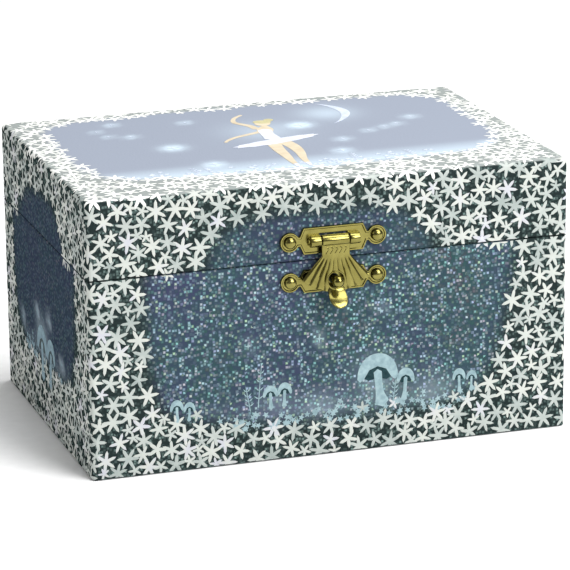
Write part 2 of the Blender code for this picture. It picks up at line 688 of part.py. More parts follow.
def make_governor(wheel_pivot, worm_pivot):
    axis = (0, DRIVE_Y, GOVERNOR_Z)
    wheel = rod(0.7, 31.0, 41.4, ALONG_X, axis, 12)
    wheel = piece("governor_wheel", wheel, "polished_brass", wheel_pivot)
    half_step = math.pi / GOVERNOR_PINION_TEETH
    down = turn_about(ALONG_X, half_step)
    add(wheel, prism(gear_outline(GOVERNOR_PINION_TEETH, FINE_MODULE), *GEAR_X, down, axis))
    lead = FINE_MODULE / (2 * WORM_R)
    lean = lead * (WORM_WHEEL_X[1] - WORM_WHEEL_X[0]) / (FINE_MODULE * WORM_WHEEL_TEETH / 2)
    toothed = gear_outline(WORM_WHEEL_TEETH, FINE_MODULE, fill=0.3, addendum=0.75)
    add(wheel, prism(toothed, *WORM_WHEEL_X, turn_about(ALONG_X, -lean / 2), axis, twist=lean))

    pitch = math.pi * FINE_MODULE
    around, per_pitch, low, high = 12, 6, 11.6, 18.8
    rows = round((high - low) / pitch * per_pitch)
    loops = [circle_at(0.6, 8.7, around), circle_at(0.6, low - 0.1, around)]
    for row in range(rows + 1):
        z = low + (high - low) * row / rows
        loop = []
        for i in range(around):
            angle = 2 * math.pi * i / around
            phase = ((z - GOVERNOR_Z) / pitch - angle / (2 * math.pi) + 0.25) % 1
            radius = WORM_R - 0.45 + 0.75 * max(0.0, min(1.0, 2.2 - 7.0 * abs(phase - 0.5)))
            loop.append((radius * math.cos(angle), radius * math.sin(angle), z))
        loops.append(loop)
    loops += [circle_at(0.6, high + 0.1, around), circle_at(0.6, 29.6, around)]
    worm = turn(skin(loops), UP, (WORM_X, WORM_Y, 0))
    smooth(piece("governor_worm", worm, "bright_steel", worm_pivot))
    centre = (WORM_X, WORM_Y, 0)
    fan = piece("air_brake", rod(1.5, 20.8, 26.0, UP, centre, 16), "moulded_plastic", worm_pivot)
    add(fan, block((WORM_X - FAN_R, WORM_Y - 0.3, 21), (WORM_X + FAN_R, WORM_Y + 0.3, 25.8)))
    cut(fan, rod(0.9, 20, 27, UP, centre, 12))


def circle_at(radius, z, sides):
    return [(x, y, z) for x, y in circle(radius, sides, 0)]


def make_governor_bracket():
    x0, x1 = BRACKET_X
    low, high = BRACKET_Z
    web = block((x0, 44.5, low), (x1, BEDPLATE_Y - GAP, high))
    bracket = piece("governor_bracket", web, "zinc_casting")
    add(
        bracket,
        block((x0, 24.2, low), (x1, 45, low + 1.8)),
        block((x0, 24.2, high - 1.6), (x1, 45, high)),
        block((x1 - 1.2, DRIVE_Y - 2.2, 13.0), (x1, 45, 17.4)),
    )
    cut(
        bracket,
        rod(0.9, 27, 30, UP, (WORM_X, WORM_Y, 0), 12),
        rod(1.0, 39, 42, ALONG_X, (0, DRIVE_Y, GOVERNOR_Z), 12),
    )


def make_spindle(pivot):
    axis = (0, DRIVE_Y, 0)
    profile = [(1.3, 33.0), (1.3, 35.4), (1.5, 35.6), (1.5, 57.6), (2.4, 57.7), (2.4, 58.6)]
    shaft = piece("spindle", turned(profile, UP, axis, 16), "bright_steel", pivot)
    mesh_z = BARREL_Z + COARSE_MODULE * CROWN_TEETH / 2
    toothed = gear_outline(PINION_TEETH, COARSE_MODULE)
    add(shaft, prism(toothed, mesh_z - 0.6, mesh_z + 0.6, turn_about(UP, math.pi / 2), axis))


def make_stop_rod(pivot):
    """A sprung wire that the closed lid holds down, its bent foot just clear of the air brake."""
    reach = math.hypot(STOP_X - WORM_X, STOP_Y - WORM_Y)
    near = (FAN_R + 1.1) / reach
    foot = (WORM_X + (STOP_X - WORM_X) * near, WORM_Y + (STOP_Y - WORM_Y) * near)
    path = [(*foot, STOP_FOOT_Z), (STOP_X - 0.15, STOP_Y + 0.3, 22.8), (STOP_X, STOP_Y, 23.8)]
    path += [(STOP_X, STOP_Y, 50.0), (STOP_X, STOP_Y, STOP_TOP_Z - 0.4), (STOP_X, STOP_Y, STOP_TOP_Z)]
    radii = [STOP_WIRE_R] * 5 + [0.4]
    smooth(piece("stop_rod", wire(path, radii, 10), "bright_steel", pivot))


# The ballerina. Her own axes: x to her left, -y to her front, z up from the fold joint


def posed(shape):
    """Lays a standing shape down, head towards the front of the box and face down."""
    return turn(shape, FRONT, (0, DRIVE_Y, FOLD_Z))


def limb(points, radii, sides=8):
    return posed(wire(points, radii, sides))


def make_ballerina(tilt, spin):
    low, high = FERRULE
    cup = [(1.7, low), (2.3, low + 0.3), (2.3, low + 0.9), (1.8, low + 1.3), (1.6, high)]
    cup = posed(turned(cup, UP, (0, 0, 0), 16))
    smooth(piece("foot_ferrule", cup, "polished_brass", tilt))

    hip, chest, neck, crown = WAIST - 2, WAIST + 8, WAIST + 11.5, WAIST + 17.5
    leg = [(0, 0, FOOT), (0, -0.3, FOOT + 3), (0.1, 0.2, FOOT + 8), (0.3, 0, FOOT + 14), (1.0, 0, hip)]
    figure = limb(leg, [0.5, 0.8, 1.3, 1.2, 1.9])
    figure = piece("ballerina_figure", figure, "moulded_plastic", spin)
    other = [(-0.8, 0.6, FOOT + 1.2), (-0.9, 0.5, FOOT + 4), (-0.9, 0.4, FOOT + 8), (-0.9, 0.1, FOOT + 14)]
    other.append((-1.1, 0, hip))
    add(figure, limb(other, [0.5, 0.8, 1.3, 1.25, 1.9]))
    torso = [(0, 0, hip - 1), (0, 0, hip + 1), (0, 0, WAIST + 2)]
    torso += [(0, -0.2, WAIST + 6), (0, 0, chest + 1), (0, 0.1, neck)]
    add(figure, limb(torso, [1.9, 2.7, 1.7, 2.5, 2.3, 0.9], 12))
    head = [(0, 0.1, neck - 0.6), (0, 0, neck), (0, -0.1, neck + 1.4)]
    head += [(0, -0.1, neck + 3.2), (0, 0, crown - 1.4), (0, 0.1, crown - 0.7)]
    add(figure, limb(head, [0.9, 1.3, 2.1, 2.4, 1.7, 0.7], 12))
    bun = [(0, 1.4, crown - 1.9), (0, 1.8, crown - 1.2), (0, 2.2, crown - 0.3), (0, 2.3, crown + 0.2)]
    add(figure, limb(bun, [0.9, 1.4, 1.3, 0.6], 10))
    for side in (-1, 1):
        arm = [(side * 1.2, 0, chest + 0.6), (side * 3.2, 0, chest + 1.2), (side * 5.6, -0.6, chest + 3.6)]
        arm += [(side * 6.4, -1.2, chest + 7.4), (side * 4.6, -1.8, chest + 11.2)]
        arm.append((side * 1.2, -2.0, chest + 13.2))
        add(figure, limb(arm, [0.9, 1.1, 0.9, 0.8, 0.65, 0.45]))
    smooth(figure)

    steps = 48
    loops = []
    for i in range(steps):
        angle = 2 * math.pi * i / steps
        ripple = 0.5 * math.sin(12 * angle)
        loop = []
        for radius, height in ((3.1, 0.5), (8.5, 0.3 + ripple * 0.5), (TUTU_R, -0.2 + ripple)):
            loop.append((radius * math.cos(angle), radius * math.sin(angle), WAIST + height))
        loop += [(x, y, z - 0.9) for x, y, z in reversed(loop)]
        loops.append(loop)
    smooth(piece("tutu", posed(skin(loops, closed_ring=True)), "tulle", spin))


def make_figure_spring():
    """A close coil that bends over from the spindle to the folded figure."""
    rise, run = FOLD_Z - SPRING_Z, FERRULE[0] - 0.7
    turns, per_turn, coil_r, wire_r = 7, 10, 1.5, 0.3
    count = turns * per_turn + 1
    path = []
    for i in range(count):
        t = i / (count - 1)
        lean = t * math.pi / 2
        centre = Vector((0, DRIVE_Y - run * (1 - math.cos(lean)), SPRING_Z + 0.2 + rise * math.sin(lean)))
        outward = Vector((0, math.cos(lean), math.sin(lean)))
        angle = 2 * math.pi * i / per_turn
        path.append(centre + coil_r * (math.cos(angle) * Vector((1, 0, 0)) + math.sin(angle) * outward))
    smooth(piece("figure_spring", wire(path, [wire_r] * count, 5), "spring_steel"))


def make_ribbon_stay():
    """The folded ribbon beside the left wall, fixed to the case below and the lid above."""
    outline = [(22, 56), (28, 56), (45, 61), (45, 65.5), (28, 70.5), (22, 70.5), (40, 63.2)]
    piece("ribbon_stay", prism(outline, RIBBON_X, RIBBON_X + RIBBON_THICK, ALONG_X), "ribbon")


def main():
    clear_scene()
    lid = pivot_at("lid_axis", (0, HINGE_Y, HINGE_Z))
    hasp = pivot_at("hasp_axis", (0, HASP_Y, HASP_Z))
    barrel = pivot_at("barrel_axis", (0, BARREL_BACK_Y, BARREL_Z))
    key = pivot_at("key_axis", (0, 60, BARREL_Z))
    cylinder = pivot_at("cylinder_axis", (CYLINDER_X[0], DRIVE_Y, BARREL_Z))
    governor = pivot_at("governor_axis", (GEAR_X[0], DRIVE_Y, GOVERNOR_Z))
    worm = pivot_at("worm_axis", (WORM_X, WORM_Y, GOVERNOR_Z))
    spindle = pivot_at("spindle_axis", (0, DRIVE_Y, 40))
    stop = pivot_at("stop_axis", (STOP_X, STOP_Y, 50))
    tilt = pivot_at("fold_axis", (0, DRIVE_Y, FOLD_Z))
    spin = pivot_at("spin_axis", (0, DRIVE_Y - FOOT, FOLD_Z))

    make_case()
    make_compartments()
    make_lid(lid)
    for side in (-1, 1):
        make_back_hinge(side, lid)
    make_catch()
    make_hasp_plate(lid)
    make_hasp_leaf(hasp)
    make_bedplate()
    make_comb()
    make_barrel(barrel)
    make_mainspring(barrel)
    make_winding(key)
    make_cylinder(cylinder)
    make_governor(governor, worm)
    make_governor_bracket()
    make_spindle(spindle)
    make_stop_rod(stop)
    make_ballerina(tilt, spin)
    make_figure_spring()
    make_ribbon_stay()


main()
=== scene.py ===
"""A paper-covered musical jewellery box with a brass clasp and a small dancer on a folding spring.

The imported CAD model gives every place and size. Lengths below are in millimetres, and each
mesh becomes metres as it is made. Walls are seen as panels: a runs right, b runs up, out is
the way the panel faces.
"""
import math
import random
from contextlib import contextmanager

import bmesh
import bpy
from mathutils import Matrix, Vector


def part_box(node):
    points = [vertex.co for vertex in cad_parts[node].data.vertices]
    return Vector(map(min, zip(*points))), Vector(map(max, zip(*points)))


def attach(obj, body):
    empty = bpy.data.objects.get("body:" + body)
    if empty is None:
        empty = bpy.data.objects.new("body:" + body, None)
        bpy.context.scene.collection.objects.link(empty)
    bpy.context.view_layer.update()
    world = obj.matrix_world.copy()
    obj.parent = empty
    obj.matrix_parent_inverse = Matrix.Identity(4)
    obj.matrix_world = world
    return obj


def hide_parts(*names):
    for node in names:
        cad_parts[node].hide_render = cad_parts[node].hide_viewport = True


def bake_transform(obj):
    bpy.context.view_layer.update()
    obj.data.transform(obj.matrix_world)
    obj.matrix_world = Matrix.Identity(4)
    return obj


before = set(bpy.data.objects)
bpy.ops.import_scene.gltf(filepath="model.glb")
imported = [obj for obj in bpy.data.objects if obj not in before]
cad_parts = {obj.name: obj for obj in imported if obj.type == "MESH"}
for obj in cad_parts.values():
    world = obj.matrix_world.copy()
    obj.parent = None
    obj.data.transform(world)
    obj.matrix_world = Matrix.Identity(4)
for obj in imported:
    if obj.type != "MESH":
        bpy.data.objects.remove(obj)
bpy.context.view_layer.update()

MM = 0.001
DICE = random.Random(42)


# Places, read from the frame

def span(node):
    """The lowest and highest corner of a CAD node, in millimetres."""
    low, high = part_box(node)
    return low / MM, high / MM


CASE_LOW, CASE_HIGH = span("case_wrap")
LID_LOW, LID_HIGH = span("lid_wrap")
HALF_X, HALF_Y = CASE_HIGH.x, CASE_HIGH.y
TOP_Z = LID_HIGH.z
MIDDLE_Z = (CASE_LOW.z + TOP_Z) / 2
HALF_Z = (TOP_Z - CASE_LOW.z) / 2
SEAM_Z = (CASE_HIGH.z + LID_LOW.z) / 2
EDGE_R = 1.6
SEAM_R = 0.4
RIM = 3.2
BASE_LIP = 1.5
PAPER = 0.4
GRID_EDGE = 2


# Hand tools

def clear_selection():
    for thing in bpy.context.selected_objects:
        thing.select_set(False)


def fresh(name):
    """Names the primitive just added and gives its place to its mesh."""
    made = bpy.context.object
    made.name = made.data.name = name
    bpy.ops.object.transform_apply(location=True, rotation=True, scale=True)
    return made


def add_block(name, low, high):
    clear_selection()
    low, high = Vector(low), Vector(high)
    bpy.ops.mesh.primitive_cube_add(size=1, location=(low + high) / 2 * MM)
    bpy.context.object.scale = (high - low) * MM
    return fresh(name)


def add_disc(name, radius, sides, centre=(0, 0, 0)):
    clear_selection()
    place = Vector(centre) * MM
    bpy.ops.mesh.primitive_circle_add(vertices=sides, radius=radius * MM, fill_type="NGON", location=place)
    return fresh(name)


def add_rod(name, radius, length, sides, centre=(0, 0, 0)):
    """A round bar along Z about its centre."""
    clear_selection()
    place = Vector(centre) * MM
    bpy.ops.mesh.primitive_cylinder_add(vertices=sides, radius=radius * MM, depth=length * MM,
                                        location=place)
    return fresh(name)


def add_outline(name, outline):
    """A flat face whose corners are moved, one by one, to the outline."""
    plate = add_disc(name, 1, len(outline))
    for corner, (x, y) in zip(plate.data.vertices, outline):
        corner.co = Vector((x, y, 0)) * MM
    return plate


@contextmanager
def editing(piece):
    clear_selection()
    piece.select_set(True)
    bpy.context.view_layer.objects.active = piece
    bpy.ops.object.mode_set(mode="EDIT")
    yield bmesh.from_edit_mesh(piece.data)
    bpy.ops.object.mode_set(mode="OBJECT")


def pick(piece, test, kind="faces"):
    """Selects the faces, edges or points whose middle, in millimetres, and direction pass the test."""
    mesh = bmesh.from_edit_mesh(piece.data)
    modes = {"verts": {"VERT"}, "edges": {"EDGE"}, "faces": {"FACE"}}
    bpy.ops.mesh.select_all(action="DESELECT")
    mesh.select_mode = modes[kind]
    mesh.normal_update()
    for part in getattr(mesh, kind):
        if kind == "faces":
            middle, facing = part.calc_center_median(), part.normal
        elif kind == "edges":
            ends = [corner.co for corner in part.verts]
            middle, facing = (ends[0] + ends[1]) / 2, (ends[1] - ends[0]).normalized()
        else:
            middle, facing = part.co, part.normal
        if test(middle / MM, facing):
            part.select_set(True)
    mesh.select_flush_mode()
    bmesh.update_edit_mesh(piece.data)


def pick_all():
    bpy.ops.mesh.select_all(action="SELECT")


def close_shell():
    """Turns every face of the closed piece outward."""
    pick_all()
    bpy.ops.mesh.normals_make_consistent(inside=False)


def thicken(height):
    """Draws a flat outline out along Z into a closed plate."""
    pick_all()
    bpy.ops.mesh.extrude_region_move(TRANSFORM_OT_translate={"value": (0, 0, height * MM)})
    close_shell()


def draw_and_cap(height):
    """Draws the picked open edge out along Z and closes it with a face."""
    bpy.ops.mesh.extrude_region_move(TRANSFORM_OT_translate={"value": (0, 0, height * MM)})
    bpy.ops.mesh.edge_face_add()
    close_shell()


def inset(width, depth=0):
    bpy.ops.mesh.inset(thickness=width * MM, depth=depth * MM)


def bevel(width, segments):
    bpy.ops.mesh.bevel(offset=width * MM, segments=segments, affect="EDGES")


def apply_modifier(piece, kind, **settings):
    clear_selection()
    piece.select_set(True)
    bpy.context.view_layer.objects.active = piece
    modifier = piece.modifiers.new(kind, kind)
    for name, value in settings.items():
        setattr(modifier, name, value)
    bpy.ops.object.modifier_apply(modifier=modifier.name)


def trim(piece, *cutters, operation="DIFFERENCE"):
    for cutter in cutters:
        apply_modifier(piece, "BOOLEAN", object=cutter, operation=operation, solver="EXACT")
        bpy.data.objects.remove(cutter)


def round_edges(piece, width, segments=2, angle=30):
    apply_modifier(piece, "BEVEL", width=width * MM, segments=segments, limit_method="ANGLE",
                   angle_limit=math.radians(angle))


def merge(name, pieces):
    clear_selection()
    for part in pieces:
        part.select_set(True)
    bpy.context.view_layer.objects.active = pieces[0]
    if len(pieces) > 1:
        bpy.ops.object.join()
    whole = bpy.context.view_layer.objects.active
    whole.name = whole.data.name = name
    return whole


def twin(piece, name):
    copy = piece.copy()
    copy.data = piece.data.copy()
    copy.name = copy.data.name = name
    bpy.context.scene.collection.objects.link(copy)
    return copy


def lay(piece, turn, origin=(0, 0, 0)):
    """Turns a piece modelled flat and sets it in its place, in its mesh."""
    piece.data.transform(Matrix.Translation(Vector(origin) * MM) @ turn.to_4x4())
    piece.data.update()
    return piece


def soften(piece, angle=35):
    clear_selection()
    piece.select_set(True)
    bpy.context.view_layer.objects.active = piece
    bpy.ops.object.shade_smooth_by_angle(angle=math.radians(angle))


def dress(piece, finish, slot, *stands_for):
    """Gives a finished piece its material and hides the CAD nodes that it shows in their place."""
    piece.data.materials.clear()
    piece.data.materials.append(finish)
    if stands_for:
        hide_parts(*stands_for)


def settle(piece, body, finish, slot, *stands_for):
    """Dresses a piece that rides rigidly on one body."""
    dress(piece, finish, slot, *stands_for)
    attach(piece, body)


# The five panels of the closed box: turn, distance from the middle, half width and half height

ALONG_X = Matrix(((0, 0, 1), (1, 0, 0), (0, 1, 0)))
TOP_PANEL = (Matrix(((1, 0, 0), (0, 1, 0), (0, 0, 1))), HALF_Z, HALF_X, HALF_Y)
FRONT_PANEL = (Matrix(((1, 0, 0), (0, 0, -1), (0, 1, 0))), HALF_Y, HALF_X, HALF_Z)
BACK_PANEL = (Matrix(((-1, 0, 0), (0, 0, 1), (0, 1, 0))), HALF_Y, HALF_X, HALF_Z)
LEFT_PANEL = (Matrix(((0, 0, -1), (-1, 0, 0), (0, 1, 0))), HALF_X, HALF_Y, HALF_Z)
RIGHT_PANEL = (ALONG_X, HALF_X, HALF_Y, HALF_Z)
PANELS = (TOP_PANEL, FRONT_PANEL, BACK_PANEL, LEFT_PANEL, RIGHT_PANEL)
CENTRE = Vector((0, 0, MIDDLE_Z))


def wrapped(panel, a, b, lift):
    """The point at a, b on a panel's paper, folded round the box's edges where it runs past them."""
    turn, distance, half_a, half_b = panel
    flat_a, flat_b = half_a - EDGE_R, half_b - EDGE_R
    past_a = math.copysign(max(abs(a) - flat_a, 0), a)
    past_b = math.copysign(max(abs(b) - flat_b, 0), b)
    if b < 0 and panel is not TOP_PANEL:
        past_b = 0
    past = math.hypot(past_a, past_b)
    if past < 1e-6:
        return turn @ Vector((a, b, distance + lift)) + CENTRE
    way = Vector((past_a / past, past_b / past, 0))
    bend = min(past / EDGE_R, math.pi / 2)
    root = Vector((a - past_a, b - past_b, distance - EDGE_R))
    run = max(past - EDGE_R * math.pi / 2, 0)
    reach = EDGE_R + lift
    drop = Vector((0, 0, reach * math.cos(bend) - run))
    return turn @ (root + way * reach * math.sin(bend) + drop) + CENTRE


def from_corner(panel, points):
    """Points measured right and down from a panel's upper left corner, as a, b."""
    return [(x - panel[2], panel[3] - y) for x, y in points]


def inside_depth(point, outline):
    """How far a point lies inside a closed outline, negative outside."""
    x, y = point
    nearest, inside = 1e9, False
    for (x0, y0), (x1, y1) in zip(outline, outline[1:] + outline[:1]):
        along = Vector((x1 - x0, y1 - y0))
        share = max(0, min(1, Vector((x - x0, y - y0)).dot(along) / max(along.length_squared, 1e-9)))
        nearest = min(nearest, math.hypot(x - x0 - share * along.x, y - y0 - share * along.y))
        if (y0 > y) != (y1 > y) and x < x0 + (y - y0) / (y1 - y0) * (x1 - x0):
            inside = not inside
    return nearest if inside else -nearest


# The windows that the flower border leaves on each panel, from the panel's upper left corner

SEAM_B = SEAM_Z - MIDDLE_Z
FRONT_CASE_WINDOW = from_corner(FRONT_PANEL, [
    (16.7, 20), (17, 40), (18, 52), (20.5, 64), (24, 70), (32, 73), (50, 76), (75, 77.5), (100, 77),
    (118, 75.5), (127, 71), (131, 64), (133.5, 55), (136, 43), (138.5, 30), (139, 20)])
FRONT_LID_WINDOW = from_corner(FRONT_PANEL, [
    (36.7, 28), (36.7, 24), (38.5, 17), (43, 12.5), (50, 10), (60, 8.8), (77, 8.4), (92, 9),
    (101, 11), (107, 15.5), (110.5, 21), (111, 28)])
SIDE_CASE_WINDOW = from_corner(LEFT_PANEL, [
    (12, 20), (12.5, 45), (14.5, 56), (19, 63), (28, 66.5), (75, 67), (84, 63.5), (89, 55), (91, 40),
    (92, 20)])
SIDE_LID_WINDOW = from_corner(LEFT_PANEL, [
    (19, 28), (19.5, 24), (25, 17.5), (33, 13), (42, 11), (49, 10.4), (64, 10.4), (71, 13.5),
    (76.5, 19), (79.5, 28)])
TOP_WINDOW = from_corner(TOP_PANEL, [
    (11, 20), (14, 12.5), (22, 9), (40, 7.6), (80, 7), (120, 7.6), (136, 9.5), (142.5, 13.5), (145, 22),
    (145.5, 45), (144, 69), (140, 79), (131, 85), (110, 87.5), (75, 88.5), (45, 87.5), (22, 84.5),
    (14, 78), (11, 68), (10.5, 45)])


def mirrored(outline):
    return [(-a, b) for a, b in reversed(outline)]


def window_depth(panel, a, b):
    """How far inside the panel's window a point is."""
    if panel is TOP_PANEL:
        return inside_depth((a, b), TOP_WINDOW)
    if panel is FRONT_PANEL or panel is BACK_PANEL:
        outline = FRONT_LID_WINDOW if b > SEAM_B else FRONT_CASE_WINDOW
    else:
        outline = SIDE_LID_WINDOW if b > SEAM_B else SIDE_CASE_WINDOW
    if panel in (BACK_PANEL, RIGHT_PANEL):
        outline = mirrored(outline)
    return inside_depth((a, b), outline)


# Soft lights in the print: place from the panel's corner, radius and strength

TOP_GLOWS = [
    (33, 15.5, 3, 0.5), (26, 23, 2.6, 0.4), (28, 30.5, 2.6, 0.4), (34.7, 33, 3, 0.5), (56.4, 20.5, 3, 0.5),
    (43.3, 51.7, 5, 0.8), (90.5, 36.7, 5, 0.9), (128, 38, 3.4, 0.5), (120.5, 45.5, 3, 0.4),
    (115.5, 48, 3, 0.4), (109, 51, 3, 0.4), (97.5, 59, 3.4, 0.5), (49.5, 76, 4.4, 0.7), (92.5, 73, 4.2, 0.6),
    (139.5, 79, 3, 0.4), (104, 24, 12, 0.35), (77, 40, 16, 0.25)]
FRONT_GLOWS = [(50, 50, 2, 0.25), (73, 50, 2, 0.35), (93, 43, 2, 0.25), (92, 64, 9, 0.15), (59, 68, 6, 0.1),
               (73, 73, 8, 0.12), (110, 72, 9, 0.12)]
SIDE_GLOWS = [(42, 52, 3, 0.4), (57, 51, 3, 0.4), (72, 61, 3, 0.4), (23, 59, 3, 0.4), (48, 60, 9, 0.3)]


def glow_at(panel, a, b):
    """The print's own light at a point: soft stars, and the mist over the meadow."""
    x, y = a + panel[2], panel[3] - b
    if panel is TOP_PANEL:
        spots, mist = TOP_GLOWS, max(0, (y - 74) / 14) * 0.55
    elif panel in (FRONT_PANEL, BACK_PANEL):
        spots, mist = FRONT_GLOWS, max(0, (y - 66) / 12) * 0.08
    else:
        spots, mist = SIDE_GLOWS, max(0, (y - 60) / 8) * 0.2
    light = mist
    for at_x, at_y, radius, strength in spots:
        light += strength * math.exp(-((x - at_x) ** 2 + (y - at_y) ** 2) / (0.5 * radius ** 2))
    return min(light, 1)


# Materials

def sheen_of(code):
    """An sRGB hex colour as linear red, green, blue and alpha."""
    channels = [int(code[i:i + 2], 16) / 255 for i in (1, 3, 5)]
    linear = [c / 12.92 if c <= 0.04045 else ((c + 0.055) / 1.055) ** 2.4 for c in channels]
    return (*linear, 1)


def add_node(tree, kind, sockets=None, stops=None, **settings):
    """Adds a node, sets it up, and links or fills its sockets."""
    node = tree.nodes.new("ShaderNode" + kind)
    for name, value in settings.items():
        setattr(node, name, value)
    for name, value in (sockets or {}).items():
        if isinstance(value, bpy.types.NodeSocket):
            tree.links.new(value, node.inputs[name])
        else:
            node.inputs[name].default_value = value
    if stops:
        marks = node.color_ramp.elements
        while len(marks) < len(stops):
            marks.new(0.5)
        for stop, (place, code) in zip(marks, stops):
            stop.position, stop.color = place, sheen_of(code)
    return node


def material(name, **sockets):
    """A new material, its node tree, its surface shader and the place on the piece."""
    made = bpy.data.materials.new(name)
    made.use_nodes = True
    tree = made.node_tree
    surface = tree.nodes["Principled BSDF"]
    for socket, value in sockets.items():
        surface.inputs[socket.replace("_", " ")].default_value = value
    return made, tree, surface, add_node(tree, "TexCoord").outputs["Object"]


def noise(tree, place, grain, detail, **more):
    """Clouds whose grain is in millimetres."""
    sockets = {"Vector": place, "Scale": 1 / (grain * MM), "Detail": detail, **more}
    return add_node(tree, "TexNoise", sockets).outputs["Fac"]


def cells(tree, place, width, **settings):
    """Cells whose width is in millimetres."""
    return add_node(tree, "TexVoronoi", {"Vector": place, "Scale": 1 / (width * MM)}, **settings)


def ramp(tree, share, *stops):
    return add_node(tree, "ValToRGB", {"Fac": share}, stops=stops).outputs["Color"]


def mix(tree, share, *ends):
    """A blend of two colours, each a socket or an sRGB hex code."""
    first, second = (sheen_of(end) if isinstance(end, str) else end for end in ends)
    sockets = {"Factor": share, "A": first, "B": second}
    return add_node(tree, "Mix", sockets, data_type="RGBA").outputs[2]


def calc(tree, operation, *values):
    return add_node(tree, "Math", dict(enumerate(values)), operation=operation).outputs["Value"]


def mapped(tree, value, to, source=(0, 1), **settings):
    """A value moved from the source range to another range."""
    sockets = {"Value": value, "From Min": source[0], "From Max": source[1], "To Min": to[0],
               "To Max": to[1]}
    return add_node(tree, "MapRange", sockets, **settings).outputs["Result"]


def relief(tree, height, strength, depth):
    """The surface's direction over a relief whose depth is in millimetres."""
    sockets = {"Height": height, "Strength": strength, "Distance": depth * MM}
    return add_node(tree, "Bump", sockets).outputs["Normal"]


def link(tree, surface, **sockets):
    for name, value in sockets.items():
        tree.links.new(value, surface.inputs[name.replace("_", " ")])


def make_holographic_paper():
    """Holographic foil paper with an ink print: tiny flakes that differ in hue, their glints painted into
    the colour as bright spots.

    A real flake is 0.3 mm; it is drawn at 1 mm, as coarse as it needs to show.
    """
    made, tree, surface, place = material("holographic_foil_paper", Roughness=0.5, Specular_IOR_Level=0.0)
    flakes = cells(tree, place, 1.0, distance="CHEBYCHEV").outputs
    chance = add_node(tree, "SeparateColor", {"Color": flakes["Color"]}).outputs
    mood = calc(tree, "MULTIPLY_ADD", chance["Green"], 0.38, noise(tree, place, 26, 2.0))
    across = add_node(tree, "SeparateXYZ", {"Vector": place}).outputs["X"]
    shift = mapped(tree, across, (-0.32, -0.06), (-75 * MM, 75 * MM))
    hue = ramp(tree, calc(tree, "ADD", mood, shift), (0.15, "#565a7c"), (0.35, "#4f5f74"),
               (0.5, "#4b646f"), (0.65, "#466c69"), (0.85, "#5a5f66"))
    body = mapped(tree, flakes["Distance"], (1.0, 0.0), (0.1, 0.55), interpolation_type="SMOOTHSTEP")
    # Painted glints: the brightest flakes take pale hues in the colour, standing in for the light that foil
    # flakes catch.
    painted_glint = calc(tree, "MULTIPLY", body, calc(tree, "POWER", chance["Red"], 1.7))
    painted_glint_hues = ramp(tree, chance["Blue"], (0.1, "#7fb0ae"), (0.35, "#9aa3c6"), (0.55, "#9fc3c4"),
                (0.75, "#b3a9bb"), (0.95, "#9cba9c"))
    foil_with_painted_glints = mix(tree, painted_glint, mix(tree, 0.64, hue, "#161e29"), painted_glint_hues)
    print_in = add_node(tree, "Attribute", attribute_name="print").outputs["Color"]
    window = add_node(tree, "SeparateColor", {"Color": print_in}).outputs
    # Painted shade: this mixes the side walls' windows towards dark blue for their shade, and the lid
    # front's window a little for its darker print.
    dusk = add_node(tree, "Attribute", attribute_name="dusk").outputs["Fac"]
    # Painted reflection: the top panel's window is painted pale grey-blue, standing in for the bright studio
    # seen in its gloss.
    sky = mix(tree, window["Blue"], foil_with_painted_glints, "#888f9c")
    glow = mix(tree, window["Green"], mix(tree, dusk, sky, "#293240"), "#cfe2ee")
    # Painted glints on the border ground between the flowers as well.
    ground = mix(tree, painted_glint, "#222b2b", "#6c807c")
    # Painted reflection: the top panel's border ground is painted paler as well.
    ground = mix(tree, calc(tree, "MULTIPLY", window["Blue"], 0.75), ground, "#9ba19f")
    whole = mix(tree, window["Red"], ground, glow)
    link(tree, surface, Base_Color=whole, Normal=relief(tree, painted_glint, 0.25, 0.15))
    return made


def make_petal_ink():
    """Opaque white ink printed on foil: petals with a faint pearl and a soft gloss, each flower its own
    whiteness, those on the top panel painted lighter for the stronger light there.
    """
    made, tree, surface, place = material("pearl_white_ink", Roughness=0.5, Specular_IOR_Level=0.04)
    tone = add_node(tree, "Attribute", attribute_name="tone").outputs["Fac"]
    # The top panel's petals come out palest here: painted light.
    pearl = calc(tree, "MULTIPLY_ADD", noise(tree, place, 2.4, 2.0), 0.4, tone)
    colour = ramp(tree, pearl, (0.1, "#8b9592"), (0.4, "#a9afab"), (0.7, "#babdb7"), (0.85, "#b2b3bc"),
                  (1.0, "#dbdcd8"))
    link(tree, surface, Base_Color=colour)
    return made


def make_print_ink(name, low, high, grain=1.5):
    """Printed ink over foil: it gives a flat colour that the foil's grain shows through."""
    made, tree, surface, place = material(name, Roughness=0.5, Specular_IOR_Level=0.04)
    cloud = noise(tree, place, grain, 3.0)
    link(tree, surface, Base_Color=ramp(tree, cloud, (0.3, low), (0.7, high)))
    return made


HOLOGRAPHIC_PAPER = make_holographic_paper()
PETAL_INK = make_petal_ink()
CAP_INK = make_print_ink("pale_cyan_ink", "#789096", "#93a9ae")
# Painted shade: a darker copy of the pale cyan ink for the side walls' pictures, standing in for the shade
# on the sides.
SHADED_SIDE_INK = make_print_ink("slate_blue_ink", "#5b7481", "#7d98a2")
GILL_INK = make_print_ink("deep_teal_ink", "#16292d", "#294145")
MOON_INK = make_print_ink("moonlight_ink", "#b3bccd", "#c6cedb")
SKIN_INK = make_print_ink("warm_cream_ink", "#bdb098", "#cabfa9", 4)
DRESS_INK = make_print_ink("ice_white_ink", "#c0c5d3", "#d0d4de", 3)
HAIR_INK = make_print_ink("straw_ink", "#aea882", "#bdb793", 2)


# The printed paper skins

def grid_cuts(low, high, step):
    count = max(1, round((high - low) / step))
    return [low + (high - low) * i / count for i in range(1, count)]


